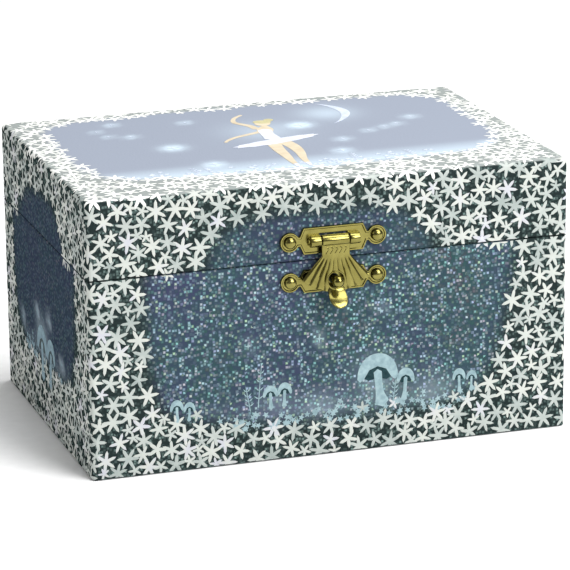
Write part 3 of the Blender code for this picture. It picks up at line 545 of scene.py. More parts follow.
def lay_print(skin):
    """Stores window, glow and a mark for the top panel, whose paper is painted paler, at each point of the
    paper as the colours of one attribute.
    """
    skin.data.attributes.new("print", "FLOAT_COLOR", "POINT")
    dusk = skin.data.attributes.new("dusk", "FLOAT", "POINT")
    for point, value, dark in zip(skin.data.vertices, skin.data.attributes["print"].data, dusk.data):
        place = point.co / MM - CENTRE
        best = max(PANELS, key=lambda panel: (panel[0].transposed() @ place).z - panel[1])
        a, b, _ = best[0].transposed() @ place
        depth = window_depth(best, a, b)
        edge, reach = (-3.5, 3.0) if best is TOP_PANEL else (-1.0, 5.0)
        share = max(0, min(1, (depth - edge) / reach))
        window = share * share * (3 - 2 * share)
        # Painted reflection: blue marks the top panel, whose window and border ground are painted paler for
        # the gloss it takes from the bright studio.
        value.color = (window, glow_at(best, a, b) * window, 1.0 if best is TOP_PANEL else 0.0, 1)
        lid_front = best in (FRONT_PANEL, BACK_PANEL) and b > SEAM_B
        # Painted shade: the side walls' windows are darkened, standing in for the shade on the sides; the
        # lid front's smaller share is its darker print.
        dark.value = 0.66 if best in (LEFT_PANEL, RIGHT_PANEL) else 0.25 if lid_front else 0.0


def make_paper(body, low, high, lips, closed_top, seam_z, step):
    """One wrap, turned in over the boards where it is open, with its folds and its seam edge rounded."""
    skin = add_block(f"{body}_paper", low, high)
    with editing(skin):
        for way_up, lip in lips:
            pick(skin, lambda middle, facing: facing.z * way_up > 0.9)
            inset(lip)
            bpy.ops.mesh.delete(type="FACE")
        pick(skin, lambda middle, way: abs(way.z) > 0.9 or closed_top and middle.z > high.z - 0.01, "edges")
        bevel(EDGE_R, 4)
        pick(skin, lambda middle, way: abs(way.z) < 0.1 and abs(middle.z - seam_z) < 0.01
             and max(abs(middle.x) - HALF_X, abs(middle.y) - HALF_Y) > -0.7, "edges")
        bevel(SEAM_R, 2)
        for axis in range(3):
            normal = [float(axis == other) for other in range(3)]
            for place in grid_cuts(low[axis] + GRID_EDGE, high[axis] - GRID_EDGE, step):
                pick_all()
                bpy.ops.mesh.bisect(plane_co=[share * place * MM for share in normal], plane_no=normal)
    apply_modifier(skin, "SOLIDIFY", thickness=PAPER * MM, offset=-1)
    lay_print(skin)
    soften(skin, 50)
    settle(skin, body, HOLOGRAPHIC_PAPER, "printed_paper", f"{body}_wrap")


# The flower border: one flower, copied to every place and folded with the paper

def model_flower(name, petals, length, width):
    """A flat flower of pointed petals, each a low six-sided cone pulled into a leaf shape."""
    clear_selection()
    bpy.ops.mesh.primitive_cone_add(vertices=6, radius1=1 * MM, radius2=0, depth=0.07 * MM)
    flower = fresh(name)
    shape = [(0.0, 0.0), (0.3, 0.38), (0.74, 0.32), (1.0, 0.0), (0.74, -0.32), (0.3, -0.38)]
    ring = sorted((v for v in flower.data.vertices if v.co.z < 0),
                  key=lambda v: math.atan2(v.co.y, v.co.x) % math.tau)
    order = [3, 2, 1, 0, 5, 4]
    for corner, place in zip(ring, order):
        x, y = shape[place]
        corner.co = Vector((x * length, y * width, 0.015)) * MM
    for corner in flower.data.vertices:
        if corner not in ring:
            corner.co = Vector((0.55 * length, 0, 0.075)) * MM
    leaves = [flower]
    for i in range(1, petals):
        leaf = twin(flower, f"{name}_petal")
        leaf.data.transform(Matrix.Rotation(math.tau * i / petals, 4, "Z"))
        leaves.append(leaf)
    clear_selection()
    bpy.ops.mesh.primitive_cone_add(vertices=petals, radius1=0.3 * length * MM, radius2=0, depth=0.05 * MM,
                                    location=(0, 0, 0.045 * MM))
    leaves.append(fresh(f"{name}_eye"))
    whole = merge(name, leaves)
    with editing(whole):
        close_shell()
    return whole


def flower_places(gap, tries, taken, reach, keep):
    """Random places in the border, no two closer than gap."""
    found = []
    areas = [panel[2] * panel[3] for panel in PANELS]
    for _ in range(tries):
        panel = DICE.choices(PANELS, areas)[0]
        a = DICE.uniform(-panel[2], panel[2])
        b = DICE.uniform(-panel[3] + 0.5, panel[3])
        if not keep(panel, a, b):
            continue
        point = wrapped(panel, a, b, 0)
        cell = tuple(int(c // reach) for c in point)
        near = [(i, j, k) for i in (-1, 0, 1) for j in (-1, 0, 1) for k in (-1, 0, 1)]
        others = (p for i, j, k in near for p in taken.get((cell[0] + i, cell[1] + j, cell[2] + k), ()))
        if any((point - other).length < (gap + room) / 2 for other, room in others):
            continue
        taken.setdefault(cell, []).append((point, gap))
        found.append((panel, a, b))
    return found


def shapes_of(flower):
    corners = [v.co / MM for v in flower.data.vertices]
    faces = [tuple(face.vertices) for face in flower.data.polygons]
    return corners, faces


def make_flower_border():
    plain = [model_flower("flower", 6, 3.5, 1.38), model_flower("flower_b", 5, 3.2, 1.5),
             model_flower("bud", 5, 2.3, 1.1)]
    fine = []
    for flower in plain:
        copy = twin(flower, flower.name + "_fine")
        with editing(copy):
            pick_all()
            bpy.ops.mesh.subdivide(number_cuts=1)
        fine.append(copy)
    shapes = [(shapes_of(p), shapes_of(f)) for p, f in zip(plain, fine)]
    for flower in plain + fine:
        bpy.data.objects.remove(flower)

    taken = {}
    border = lambda panel, a, b: window_depth(panel, a, b) < -0.6
    big = flower_places(4.35, 32000, taken, 5, border)
    small = flower_places(2.75, 26000, taken, 5, border)
    low_edge = lambda panel, a, b: (panel is not TOP_PANEL and b < -24
                                    and -0.5 < window_depth(panel, a, b) < 3.5)
    stray = flower_places(4.4, 3000, taken, 5, low_edge)
    blooms = [(DICE.choice((0, 0, 1)), p) for p in big] + [(2, p) for p in small + stray]

    made = {"case": ([], [], []), "lid": ([], [], [])}
    for kind, (panel, a, b) in blooms:
        spin, size = DICE.uniform(0, math.tau), DICE.uniform(0.88, 1.08)
        lift, tone = DICE.uniform(0, 0.05), DICE.random() * 0.6
        # Painted light: petals on the top panel are lifted to the palest white, standing in for the stronger
        # light on top.
        tone += 1 if panel is TOP_PANEL else 0
        near_edge = panel[2] - abs(a) < 5 or panel[3] - abs(b) < 5
        corners, faces = shapes[kind][1 if near_edge else 0]
        cosine, sine = math.cos(spin) * size, math.sin(spin) * size
        points = [wrapped(panel, a + x * cosine - y * sine, b + x * sine + y * cosine, z + lift)
                  for x, y, z in corners]
        low, high = min(p.z for p in points), max(p.z for p in points)
        for body, wanted in (("case", low < CASE_HIGH.z - 0.1), ("lid", high > LID_LOW.z + 0.1)):
            if wanted:
                vertices, polygons, tones_and_top_light = made[body]
                start = len(vertices)
                vertices.extend(p * MM for p in points)
                polygons.extend(tuple(start + i for i in face) for face in faces)
                tones_and_top_light.extend([tone] * len(points))
    for body, (vertices, polygons, tones_and_top_light) in made.items():
        mesh = bpy.data.meshes.new(f"{body}_flowers")
        mesh.from_pydata(vertices, [], polygons)
        mesh.attributes.new("tone", "FLOAT", "POINT").data.foreach_set("value", tones_and_top_light)
        border = bpy.data.objects.new(f"{body}_flowers", mesh)
        bpy.context.scene.collection.objects.link(border)
        cut_line = CASE_HIGH.z - 0.12 if body == "case" else LID_LOW.z + 0.12
        above = body == "case"
        with editing(border):
            pick(border, lambda middle, facing: abs(middle.z - cut_line) < 8)
            bpy.ops.mesh.bisect(plane_co=(0, 0, cut_line * MM), plane_no=(0, 0, 1), use_fill=True,
                                clear_outer=above, clear_inner=not above)
            if above:
                pick(border, lambda middle, facing: middle.z < 9)
                bpy.ops.mesh.bisect(plane_co=(0, 0, (CASE_LOW.z + 0.2) * MM), plane_no=(0, 0, 1),
                                    use_fill=True, clear_inner=True)
        settle(border, body, PETAL_INK, "printed_paper")
        print(border.name, len(border.data.polygons), "faces")


# The pictures inside the windows: flat shapes cut as outlines and laid on a panel

def printed(name, panel, outline, lift=0.03, turn=0, at=None):
    """A thin inked shape. The outline is right and down from the panel's upper left corner, or from at."""
    if at is not None:
        cosine, sine = math.cos(turn), math.sin(turn)
        outline = [(at[0] + x * cosine - y * sine, at[1] + x * sine + y * cosine) for x, y in outline]
    shape = add_outline(name, from_corner(panel, outline))
    with editing(shape):
        thicken(0.04)
    return lay(shape, panel[0], CENTRE + panel[0] @ Vector((0, 0, panel[1] + lift)))


def strip(path, widths):
    """The outline of a limb: a path with a width at each of its points, rounded at both ends."""
    left, right = [], []
    for i, (x, y) in enumerate(path):
        before, after = path[max(0, i - 1)], path[min(len(path) - 1, i + 1)]
        along = Vector((after[0] - before[0], after[1] - before[1])).normalized()
        half = widths[i] / 2
        left.append((x - along.y * half, y + along.x * half))
        right.append((x + along.y * half, y - along.x * half))
    start = Vector((path[0][0] - path[1][0], path[0][1] - path[1][1])).normalized() * widths[0] * 0.35
    end = Vector((path[-1][0] - path[-2][0], path[-1][1] - path[-2][1])).normalized() * widths[-1] * 0.35
    tip = (path[-1][0] + end.x, path[-1][1] + end.y)
    tail = (path[0][0] + start.x, path[0][1] + start.y)
    return [tail] + left + [tip] + right[::-1]


def smooth_path(points, steps=6):
    """Points on a smooth curve through the points given."""
    made = []
    for i in range(len(points) - 1):
        p0, p1 = Vector(points[max(0, i - 1)]), Vector(points[i])
        p2, p3 = Vector(points[i + 1]), Vector(points[min(len(points) - 1, i + 2)])
        for step in range(steps):
            t = step / steps
            made.append(0.5 * (2 * p1 + (p2 - p0) * t + (2 * p0 - 5 * p1 + 4 * p2 - p3) * t * t
                               + (3 * p1 - p0 - 3 * p2 + p3) * t ** 3))
    made.append(Vector(points[-1]))
    return made


def limb(path, widths, steps=6):
    """A smooth limb whose third number is its width."""
    points = smooth_path([(x, y, w) for (x, y), w in zip(path, widths)], steps)
    return strip([(p.x, p.y) for p in points], [p.z for p in points])


def oval(x, y, half_x, half_y, turn=0, sides=24):
    cosine, sine = math.cos(turn), math.sin(turn)
    ring = [(half_x * math.cos(math.tau * i / sides), half_y * math.sin(math.tau * i / sides))
            for i in range(sides)]
    return [(x + a * cosine - b * sine, y + a * sine + b * cosine) for a, b in ring]


def mushroom(panel, x, y, width, height, stem_to, lean=0.0):
    """A toadstool: a domed cap with a curled rim, dark gills, and a stem that swells at its foot."""
    half = width / 2
    crown = height * 1.22
    dome = [(x + half * math.cos(a), y - crown * math.sin(a) ** 0.9)
            for a in [math.pi * i / 16 for i in range(17)]]
    rim = [(x - half * 0.86, y + height * 0.14), (x - half * 0.55, y - height * 0.1),
           (x - half * 0.3, y - height * 0.34),
           (x, y - height * 0.42), (x + half * 0.3, y - height * 0.34),
           (x + half * 0.55, y - height * 0.1), (x + half * 0.86, y + height * 0.14)]
    gills = [(x - half * 0.66, y - height * 0.02), (x - half * 0.42, y - height * 0.42),
             (x, y - height * 0.58),
             (x + half * 0.42, y - height * 0.42), (x + half * 0.66, y - height * 0.02),
             (x + half * 0.44, y + height * 0.1),
             (x, y - height * 0.02), (x - half * 0.44, y + height * 0.1)]
    stem = limb([(x, y - height * 0.3), (x + lean * 0.4, (y + stem_to) / 2), (x + lean, stem_to)],
                [width * 0.2, width * 0.19, width * 0.34], 4)
    light = [printed("toadstool_cap", panel, dome + rim), printed("toadstool_stem", panel, stem, 0.045)]
    return light, [printed("toadstool_gills", panel, gills, 0.036)]


def sprig(panel, x, y, length, lean):
    """A grass stem with paired leaves."""
    made = [printed("sprig_stem", panel, strip([(x, y), (x + lean * 0.5, y - length * 0.5),
                                                (x + lean, y - length)], [0.3, 0.28, 0.2]))]
    for i in range(1, 5):
        share = i / 5
        root_x, root_y = x + lean * share, y - length * share
        for side in (-1, 1):
            leaf = [(0, 0), (side * 0.5, -0.55), (side * 1.5 * (1.15 - share * 0.5), -1.1),
                    (side * 0.75, -0.2)]
            made.append(printed("sprig_leaf", panel, leaf if side > 0 else leaf[::-1], at=(root_x, root_y)))
    return made


def tiny_flowers(panel, places, size):
    made = []
    for x, y in places:
        spin = DICE.uniform(0, math.tau)
        star = []
        for i in range(10):
            reach = size * (1 if i % 2 == 0 else 0.42)
            star.append((x + reach * math.cos(spin + math.tau * i / 10),
                         y + reach * math.sin(spin + math.tau * i / 10)))
        made.append(printed("tiny_flower", panel, star, 0.03 + DICE.uniform(0, 0.02)))
    return made


def glints(panel, places):
    """Four-pointed glints, each a pinched star."""
    made = []
    for x, y, size in places:
        points = [(0, -1), (0.16, -0.16), (1, 0), (0.16, 0.16), (0, 1), (-0.16, 0.16), (-1, 0),
                  (-0.16, -0.16)]
        made.append(printed("glint", panel, [(x + a * size, y + b * size) for a, b in points], 0.05))
    return made


def inside_window(panel, places):
    """The places that lie in the window or just past its edge."""
    return [(x, y) for x, y in places if window_depth(panel, x - panel[2], panel[3] - y) > -1]


def make_wall_pictures():
    pale, dark, side = [], [], []
    for panel in (FRONT_PANEL, BACK_PANEL):
        groups = [(92.0, 64.8, 13.4, 6.6, 72.8, 1.4), (101.2, 66.8, 6.0, 3.6, 72.6, -0.6),
                  (57.0, 66.8, 4.9, 2.8, 70.6, 0.2),
                  (61.6, 66.4, 4.7, 2.9, 70.4, -0.2), (27.0, 68.0, 4.4, 2.7, 71.6, 0.2),
                  (31.0, 68.6, 3.8, 2.3, 71.6, -0.2),
                  (119.0, 68.0, 4.4, 2.8, 72.0, 0.2), (123.2, 68.4, 3.6, 2.2, 72.0, -0.2)]
        for group in groups:
            light, shade = mushroom(panel, *group)
            pale += light
            dark += shade
        for place in ((53, 70, 13.5, 1.2), (50.5, 71, 8, -1.4), (97, 73, 7, 1.0)):
            pale += sprig(panel, *place)
        meadow = [(DICE.uniform(40, 128), DICE.triangular(70, 78, 76.5)) for _ in range(95)]
        pale += tiny_flowers(panel, inside_window(panel, meadow), 1.15)
        pale += glints(panel, [(50, 50, 1.3), (73, 50, 1.6), (93, 43, 1.2), (79, 57.5, 0.9),
                               (110, 53, 0.9), (34, 44, 0.9)])
    # Painted shade: the side walls' toadstool caps, flowers, sprigs and glints take the darker copy of the
    # pale cyan ink.
    for panel in (LEFT_PANEL, RIGHT_PANEL):
        for group in ((47.4, 63.2, 12.6, 6.6, 72.0, 0.6), (58.6, 63.6, 10.2, 5.6, 72.5, -1.6)):
            light, shade = mushroom(panel, *group)
            side += light
            dark += shade
        meadow = [(DICE.uniform(22, 72), DICE.triangular(63, 69, 67)) for _ in range(38)]
        side += tiny_flowers(panel, inside_window(panel, meadow), 1.1)
        side += sprig(panel, 36, 68, 8, -1.0) + sprig(panel, 40.5, 69, 6, -0.6)
        side += glints(panel, [(42, 52, 1.4), (57, 51, 1.2), (72, 61, 1.3), (23, 59, 1.0)])
    settle(merge("wall_picture_light", pale), "case", CAP_INK, "printed_paper")
    # The side pictures in the painted-shade copy of the ink.
    settle(merge("wall_picture_side", side), "case", SHADED_SIDE_INK, "printed_paper")
    settle(merge("wall_picture_shade", dark), "case", GILL_INK, "printed_paper")


def make_moon():
    """A waning crescent between two arcs that share their horns."""
    horn_a, horn_b, bow = Vector((104.4, 10.5)), Vector((101.7, 38.3)), Vector((111.7, 24.2))
    chord = (horn_a + horn_b) / 2
    out = bow - chord
    arc = []
    for reach, order in ((1.0, range(17)), (0.62, range(15, 0, -1))):
        for i in order:
            share = i / 16
            side = math.sin(math.pi * share) ** 0.8
            arc.append(tuple(horn_a.lerp(horn_b, share) + out * side * reach))
    return printed("crescent_moon", TOP_PANEL, arc)


def make_lid_picture():
    """The printed dancer under the moon: a plain figure in a wide tutu, one arm raised."""
    skin = [limb([(76.6, 17.2), (73.0, 21.0), (71.6, 26.4), (74.8, 32.2), (75.6, 36.6)],
                 [1.1, 1.4, 1.8, 2.2, 2.6]),
            limb([(79.6, 38.6), (73.5, 42.0), (66.6, 45.2), (63.0, 48.0), (61.0, 50.6)],
                 [2.4, 1.9, 1.6, 1.3, 1.0]),
            limb([(79.4, 34.0), (78.2, 38.0), (77.0, 43.0), (76.8, 48.6)], [1.8, 5.2, 4.6, 4.4]),
            limb([(75.2, 55.5), (74.2, 64.0), (73.8, 73.0), (73.4, 80.0), (73.2, 87.0)],
                 [4.6, 4.0, 3.1, 2.2, 1.2]),
            limb([(78.6, 55.0), (79.6, 63.0), (79.2, 71.0), (77.8, 79.0), (77.3, 86.6)],
                 [4.6, 4.2, 3.2, 2.2, 1.2]),
            oval(79.7, 30.6, 2.6, 3.3, 0.25)]
    body = [printed("painted_limb", TOP_PANEL, outline, 0.03 + 0.004 * i) for i, outline in enumerate(skin)]
    settle(merge("lid_picture_figure", body), "lid", SKIN_INK, "printed_paper")
    hair = [printed("painted_hair", TOP_PANEL, oval(80.2, 28.6, 3.0, 2.3, 0.3), 0.056),
            printed("painted_bun", TOP_PANEL, oval(83.0, 26.6, 1.6, 1.5), 0.06)]
    settle(merge("lid_picture_hair", hair), "lid", HAIR_INK, "printed_paper")
    rim = []
    for i in range(48):
        angle = math.tau * i / 48
        frill = 1 + 0.05 * math.sin(12 * angle)
        depth = 3.3 if math.sin(angle) > 0 else 2.4
        rim.append((15.4 * math.cos(angle) * frill, depth * math.sin(angle) * frill))
    bodice = limb([(77.6, 39.5), (76.9, 44.5), (76.7, 51)], [4.6, 4.4, 5.4])
    tutu = [printed("painted_tutu", TOP_PANEL, rim, 0.064, -0.26, (76.6, 54.2)),
            printed("painted_bodice", TOP_PANEL, bodice, 0.06)]
    slippers = [limb([(73.3, 84.5), (73.2, 87.8)], [1.7, 1.0]),
                limb([(77.5, 84.0), (77.2, 87.8)], [1.7, 1.0])]
    tutu += [printed("painted_slipper", TOP_PANEL, outline, 0.062) for outline in slippers]
    settle(merge("lid_picture_tutu", tutu), "lid", DRESS_INK, "printed_paper")
    lights = [make_moon()]
    lights += glints(TOP_PANEL, [(x, y, r * 0.45) for x, y, r, _ in TOP_GLOWS[:15]])
    meadow = [(DICE.uniform(18, 140), DICE.triangular(79, 88, 87)) for _ in range(90)]
    lights += tiny_flowers(TOP_PANEL, inside_window(TOP_PANEL, meadow), 1.2)
    for place in ((42, 86, 8, -1), (93, 86, 9, 1), (112, 86, 7, -1)):
        lights += sprig(TOP_PANEL, *place)
    settle(merge("lid_picture_light", lights), "lid", MOON_INK, "printed_paper")


make_paper("case", CASE_LOW, CASE_HIGH, ((1, RIM), (-1, BASE_LIP)), False, CASE_HIGH.z, 3.1)
make_paper("lid", LID_LOW, LID_HIGH, ((-1, RIM),), True, LID_LOW.z, 2.5)
make_flower_border()
make_wall_pictures()
make_lid_picture()


def make_brass():
    """Brass-plated stamped steel, rolled bright: it gives deep olive shade and pale gold along each bend."""
    made, tree, surface, place = material("polished_brass_plate", Metallic=1.0, Roughness=0.2)
    haze = noise(tree, place, 3.5, 4.0)
    lines = add_node(tree, "Mapping", {"Vector": place, "Scale": (1, 1, 0.08)}).outputs["Vector"]
    rolled = noise(tree, lines, 0.25, 2.0)
    link(tree, surface, Base_Color=ramp(tree, haze, (0.3, "#716b39"), (0.7, "#898249")),
         Roughness=mapped(tree, haze, (0.14, 0.3)), Normal=relief(tree, rolled, 0.06, 0.05))
    return made


BRASS = make_brass()


# The clasp: stamped plates, modelled flat with Y up and laid on the front

FRONT = FRONT_PANEL[0]
HASP_LOW, HASP_TOP = span("hasp_plate")
HASP_Z = (HASP_LOW.z + HASP_TOP.z) / 2
PLATE_BACK = -HASP_TOP.y
PLATE_THICK = 0.8
PIN_LOW, PIN_HIGH = span("hasp_pin")
HASP_Y = (PIN_LOW.y + PIN_HIGH.y) / 2
CATCH_LOW, CATCH_HIGH = span("catch_plate")
CATCH_Z = (CATCH_LOW.z + CATCH_HIGH.z) / 2
STUD_LOW, STUD_HIGH = span("catch_stud")
STUD_Z = (STUD_LOW.z + STUD_HIGH.z) / 2
LEAF_FRONT = 56.7
LEAF_X = 4.3
PIN_R = 0.9
KNUCKLE_R = 1.8
LOBE_X, LOBE_R = 14.0, 3.1


def lobed_outline(half_width, half_height, shoulder, neck):
    start = math.asin(neck / LOBE_R)
    arc = [math.pi - start - (math.tau - 2 * start) * i / 20 for i in range(21)]
    right = [(half_width, half_height), (half_width + shoulder, neck)]
    right += [(LOBE_X + LOBE_R * math.cos(a), LOBE_R * math.sin(a)) for a in arc]
    right += [(half_width + shoulder, -neck), (half_width, -half_height)]
    return right + [(-x, -y) for x, y in right]


def stamp_plate(name, half_height):
    """A clasp plate with a rolled rim and a dish round each nail."""
    plate = add_outline(name, lobed_outline(9.6, half_height, 1.2, 1.5))
    with editing(plate):
        thicken(PLATE_THICK - 0.25)
        pick(plate, lambda middle, facing: facing.z > 0.9)
        inset(0.12, 0.25)
        inset(0.35)
        inset(0.25, -0.22)
    return plate


def model_nail():
    """A low domed nail head with a short skirt under its rim."""
    clear_selection()
    bpy.ops.mesh.primitive_uv_sphere_add(segments=20, ring_count=12, radius=1.9 * MM)
    nail = fresh("clasp_nail")
    with editing(nail):
        pick(nail, lambda place, way: place.z < -0.01, "verts")
        bpy.ops.mesh.delete(type="VERT")
        pick_all()
        bpy.ops.transform.resize(value=(0.98, 0.98, 0.62))
        pick(nail, lambda middle, way: middle.z < 0.02, "edges")
        draw_and_cap(-0.2)
    soften(nail, 40)
    return nail


def bar_along_x(name, radius, low, high, z, y, sides=24):
    bar = add_rod(name, radius, high - low, sides)
    with editing(bar):
        pick(bar, lambda middle, way: abs(way.z) < 0.1, "edges")
        bevel(0.25, 2)
    return lay(bar, ALONG_X, ((low + high) / 2, y, z))


def bore_for_pin(piece):
    trim(piece, lay(add_rod("bore_cutter", PIN_R, 30, 20), ALONG_X, (0, HASP_Y, HASP_Z)))


def make_hasp_plate():
    plate = stamp_plate("hasp_back_plate", (HASP_TOP.z - HASP_LOW.z) / 2)
    lay(plate, FRONT, (0, -PLATE_BACK, HASP_Z))
    slot_low = (-4.6, -PLATE_BACK - 3, HASP_Z - 2.2)
    trim(plate, add_block("slot_cutter", slot_low, (4.6, -PLATE_BACK + 1, HASP_Z + 2.2)))
    ends = ((-8.0, -4.6), (4.6, 8.0))
    knuckles = [bar_along_x("hasp_knuckle", KNUCKLE_R, low, high, HASP_Z, HASP_Y) for low, high in ends]
    rolls = [add_block("hasp_roll", (low, -PLATE_BACK - 1.6, HASP_Z + 0.6),
                       (high, -PLATE_BACK - 0.3, HASP_Z + KNUCKLE_R)) for low, high in ends]
    trim(plate, *knuckles, *rolls, operation="UNION")
    bore_for_pin(plate)
    soften(plate, 35)
    settle(plate, "lid", BRASS, "polished_brass", "hasp_plate")


def make_catch_plate():
    plate = stamp_plate("catch_back_plate", (CATCH_HIGH.z - CATCH_LOW.z) / 2)
    lay(plate, FRONT, (0, -PLATE_BACK, CATCH_Z))
    hole = add_rod("stud_cutter", 1.6, 8, 24)
    trim(plate, lay(hole, FRONT, (0, -PLATE_BACK, STUD_Z)))
    soften(plate, 35)
    settle(plate, "case", BRASS, "polished_brass", "catch_plate")


def make_clasp_nails():
    nail = model_nail()
    for row, body, z in (("hasp", "lid", HASP_Z), ("catch", "case", CATCH_Z)):
        for side, label in ((-1, "left"), (1, "right")):
            node = f"{row}_nail_{label}"
            copy = lay(twin(nail, f"{row}_nail_head_{label}"), FRONT,
                       (side * LOBE_X, -PLATE_BACK - PLATE_THICK - 0.05, z))
            settle(copy, body, BRASS, "polished_brass", node)
    bpy.data.objects.remove(nail)


def rib(share):
    """The height of the stamped fan across its width, 0 in a groove and 1 on a rib."""
    return abs(math.cos(share * math.pi * 4.5)) ** 0.7


def make_hasp_leaf():
    """The hanging leaf: a knuckle, a neck with arrow marks, and a fan ribbed like a shell."""
    columns, rows = 72, 26
    clear_selection()
    bpy.ops.mesh.primitive_grid_add(x_subdivisions=columns, y_subdivisions=rows, size=2 * MM)
    fan = fresh("hasp_fan")
    top_z, neck_z, fan_z, radius, spread = 69.1, 68.6, 64.9, 15.7, math.radians(44)
    for corner in fan.data.vertices:
        across, down = corner.co.x / MM, (1 - corner.co.y / MM) / 2
        angle = across * spread
        scallop = 0.35 * abs(math.sin((across + 1) / 2 * math.pi * 7))
        foot = Vector((math.sin(angle), -math.cos(angle))) * (radius - 0.35 + scallop) + Vector((0, top_z))
        mouth = Vector((4.45 * across, fan_z))
        if down < 0.2:
            place = Vector((4.45 * across, neck_z + (fan_z - neck_z) * down / 0.2))
            lift = 0
        else:
            share = (down - 0.2) / 0.8
            place = mouth.lerp(foot, share)
            fade = min(1, share * 5) * min(1, (1 - share) * 10 + 0.15)
            lift = -0.34 * (1 - rib(across)) * fade
        edge = max(0, abs(across) - 0.965) / 0.035
        corner.co = Vector((place.x, place.y, lift - 0.18 * edge)) * MM
    apply_modifier(fan, "SOLIDIFY", thickness=0.46 * MM, offset=-1)
    lay(fan, FRONT, (0, -LEAF_FRONT, 0))
    hole = add_rod("stud_hole_cutter", 2.6, 8, 28)
    trim(fan, lay(hole, FRONT, (0, -LEAF_FRONT, STUD_Z)))

    parts = [fan]
    collar = add_disc("stud_collar", 3.05, 28)
    with editing(collar):
        pick_all()
        inset(0.45)
        bpy.ops.mesh.delete(type="FACE")
        thicken(0.3)
    round_edges(collar, 0.1)
    parts.append(lay(collar, FRONT, (0, -LEAF_FRONT + 0.1, STUD_Z)))
    parts.append(bar_along_x("leaf_knuckle", KNUCKLE_R, -LEAF_X, LEAF_X, HASP_Z, HASP_Y))
    roll = add_block("leaf_roll", (-LEAF_X, -LEAF_FRONT, 68.2), (LEAF_X, -LEAF_FRONT + PLATE_THICK, HASP_Z))
    with editing(roll):
        pick(roll, lambda middle, way: abs(way.x) > 0.9, "edges")
        bevel(0.2, 2)
    parts.append(roll)
    for i in range(5):
        mark = add_outline("arrow_mark", [(-0.45, 1.15), (0.05, 1.15), (0.85, 0), (0.05, -1.15),
                                          (-0.45, -1.15), (0.35, 0)])
        with editing(mark):
            thicken(0.2)
            pick(mark, lambda middle, facing: facing.z > 0.9)
            inset(0.08, 0.06)
        parts.append(lay(mark, FRONT, (-2.9 + 1.45 * i, -LEAF_FRONT + 0.05, 66.7)))
    bore_for_pin(parts[2])
    parts.append(make_thumb_tab())
    leaf = merge("hasp_hanging_leaf", parts)
    soften(leaf, 40)
    settle(leaf, "hasp", BRASS, "polished_brass", "hasp_leaf")


def make_thumb_tab():
    """The heart-shaped tab under the fan, bent out for the thumb."""
    outline = [(0, 0.9), (2.2, 0.9), (2.8, 0.3), (2.7, -0.8), (2.85, -2.2), (2.9, -3.4), (2.6, -4.6),
               (2.0, -5.5), (1.15, -6.2),
               (0.55, -6.45), (0, -6.5)]
    outline += [(-x, y) for x, y in reversed(outline[1:-1])]
    tab = add_outline("thumb_tab", outline)
    with editing(tab):
        pick_all()
        bpy.ops.mesh.bisect(plane_co=(0, 0, 0), plane_no=(1, 0, 0))
        for i in range(10):
            pick_all()
            bpy.ops.mesh.bisect(plane_co=(0, (0.4 - 0.65 * i) * MM, 0), plane_no=(0, 1, 0))
        thicken(0.6)
    for corner in tab.data.vertices:
        down = max(0, 0.3 - corner.co.y / MM)
        out = 5.0 * (1 - math.exp(-((down / 4.6) ** 1.6)))
        fall = down * 0.79
        cup = 0.015 * (corner.co.x / MM) ** 2
        corner.co = Vector((corner.co.x, (0.3 - fall) * MM if down else corner.co.y,
                            corner.co.z + (out - cup) * MM))
    round_edges(tab, 0.12, 2, 50)
    return lay(tab, FRONT, (0, -LEAF_FRONT + 0.5, 54.2))


def make_catch_stud():
    """A turned ball on a post, flattened a little at its nose."""
    clear_selection()
    bpy.ops.mesh.primitive_uv_sphere_add(segments=28, ring_count=18, radius=1.9 * MM)
    stud = fresh("catch_ball_stud")
    with editing(stud):
        pick(stud, lambda place, way: place.z > 1.7, "verts")
        bpy.ops.transform.resize(value=(1, 1, 0.97))
        pick(stud, lambda middle, facing: middle.z < -1.45)
        bpy.ops.mesh.delete(type="FACE")
        pick(stud, lambda middle, way: middle.z < -1.3 and abs(way.z) < 0.05, "edges")
        draw_and_cap(-3.4)
    lay(stud, FRONT, (0, STUD_LOW.y + 1.9, STUD_Z))
    soften(stud, 40)
    settle(stud, "case", BRASS, "polished_brass", "catch_stud")


make_hasp_plate()
make_catch_plate()
make_clasp_nails()
make_hasp_leaf()
make_catch_stud()


# Velvet, board, felt, satin, metal, glass, enamel and tulle

def make_velvet(name, deep, light):
    """Flocked velvet: it gives a matt ground with a pale bloom at grazing angles and brushed patches."""
    made, tree, surface, place = material(name, Roughness=0.95, Specular_IOR_Level=0.1, Sheen_Weight=0.7,
                                          Sheen_Roughness=0.4, Sheen_Tint=sheen_of("#8d9fd0"))
    nap = noise(tree, place, 0.5, 3.0)
    both = calc(tree, "MULTIPLY_ADD", nap, 0.45, noise(tree, place, 14, 3.0, Roughness=0.6))
    link(tree, surface, Base_Color=ramp(tree, both, (0.45, deep), (1.0, light)),
         Normal=relief(tree, nap, 0.5, 0.25))
    return made


def make_board():
    """Grey pulp board: it gives a dull fibrous ground with paler flecks."""
    made, tree, surface, place = material("grey_pulp_board", Roughness=0.9)
    fibre = noise(tree, place, 0.9, 5.0, Roughness=0.7)
    link(tree, surface, Base_Color=ramp(tree, fibre, (0.35, "#6d6a64"), (0.7, "#8d8980")),
         Normal=relief(tree, fibre, 0.3, 0.1))
    return made


def make_felt():
    """Black felt paper: it gives a soft dark fuzz with stray lighter fibres."""
    made, tree, surface, place = material("black_felt_paper", Roughness=0.95, Sheen_Weight=0.3)
    fuzz = noise(tree, place, 0.6, 5.0, Distortion=1.5)
    link(tree, surface, Base_Color=ramp(tree, fuzz, (0.4, "#14161c"), (0.75, "#2b2f38")),
         Normal=relief(tree, fuzz, 0.6, 0.2))
    return made


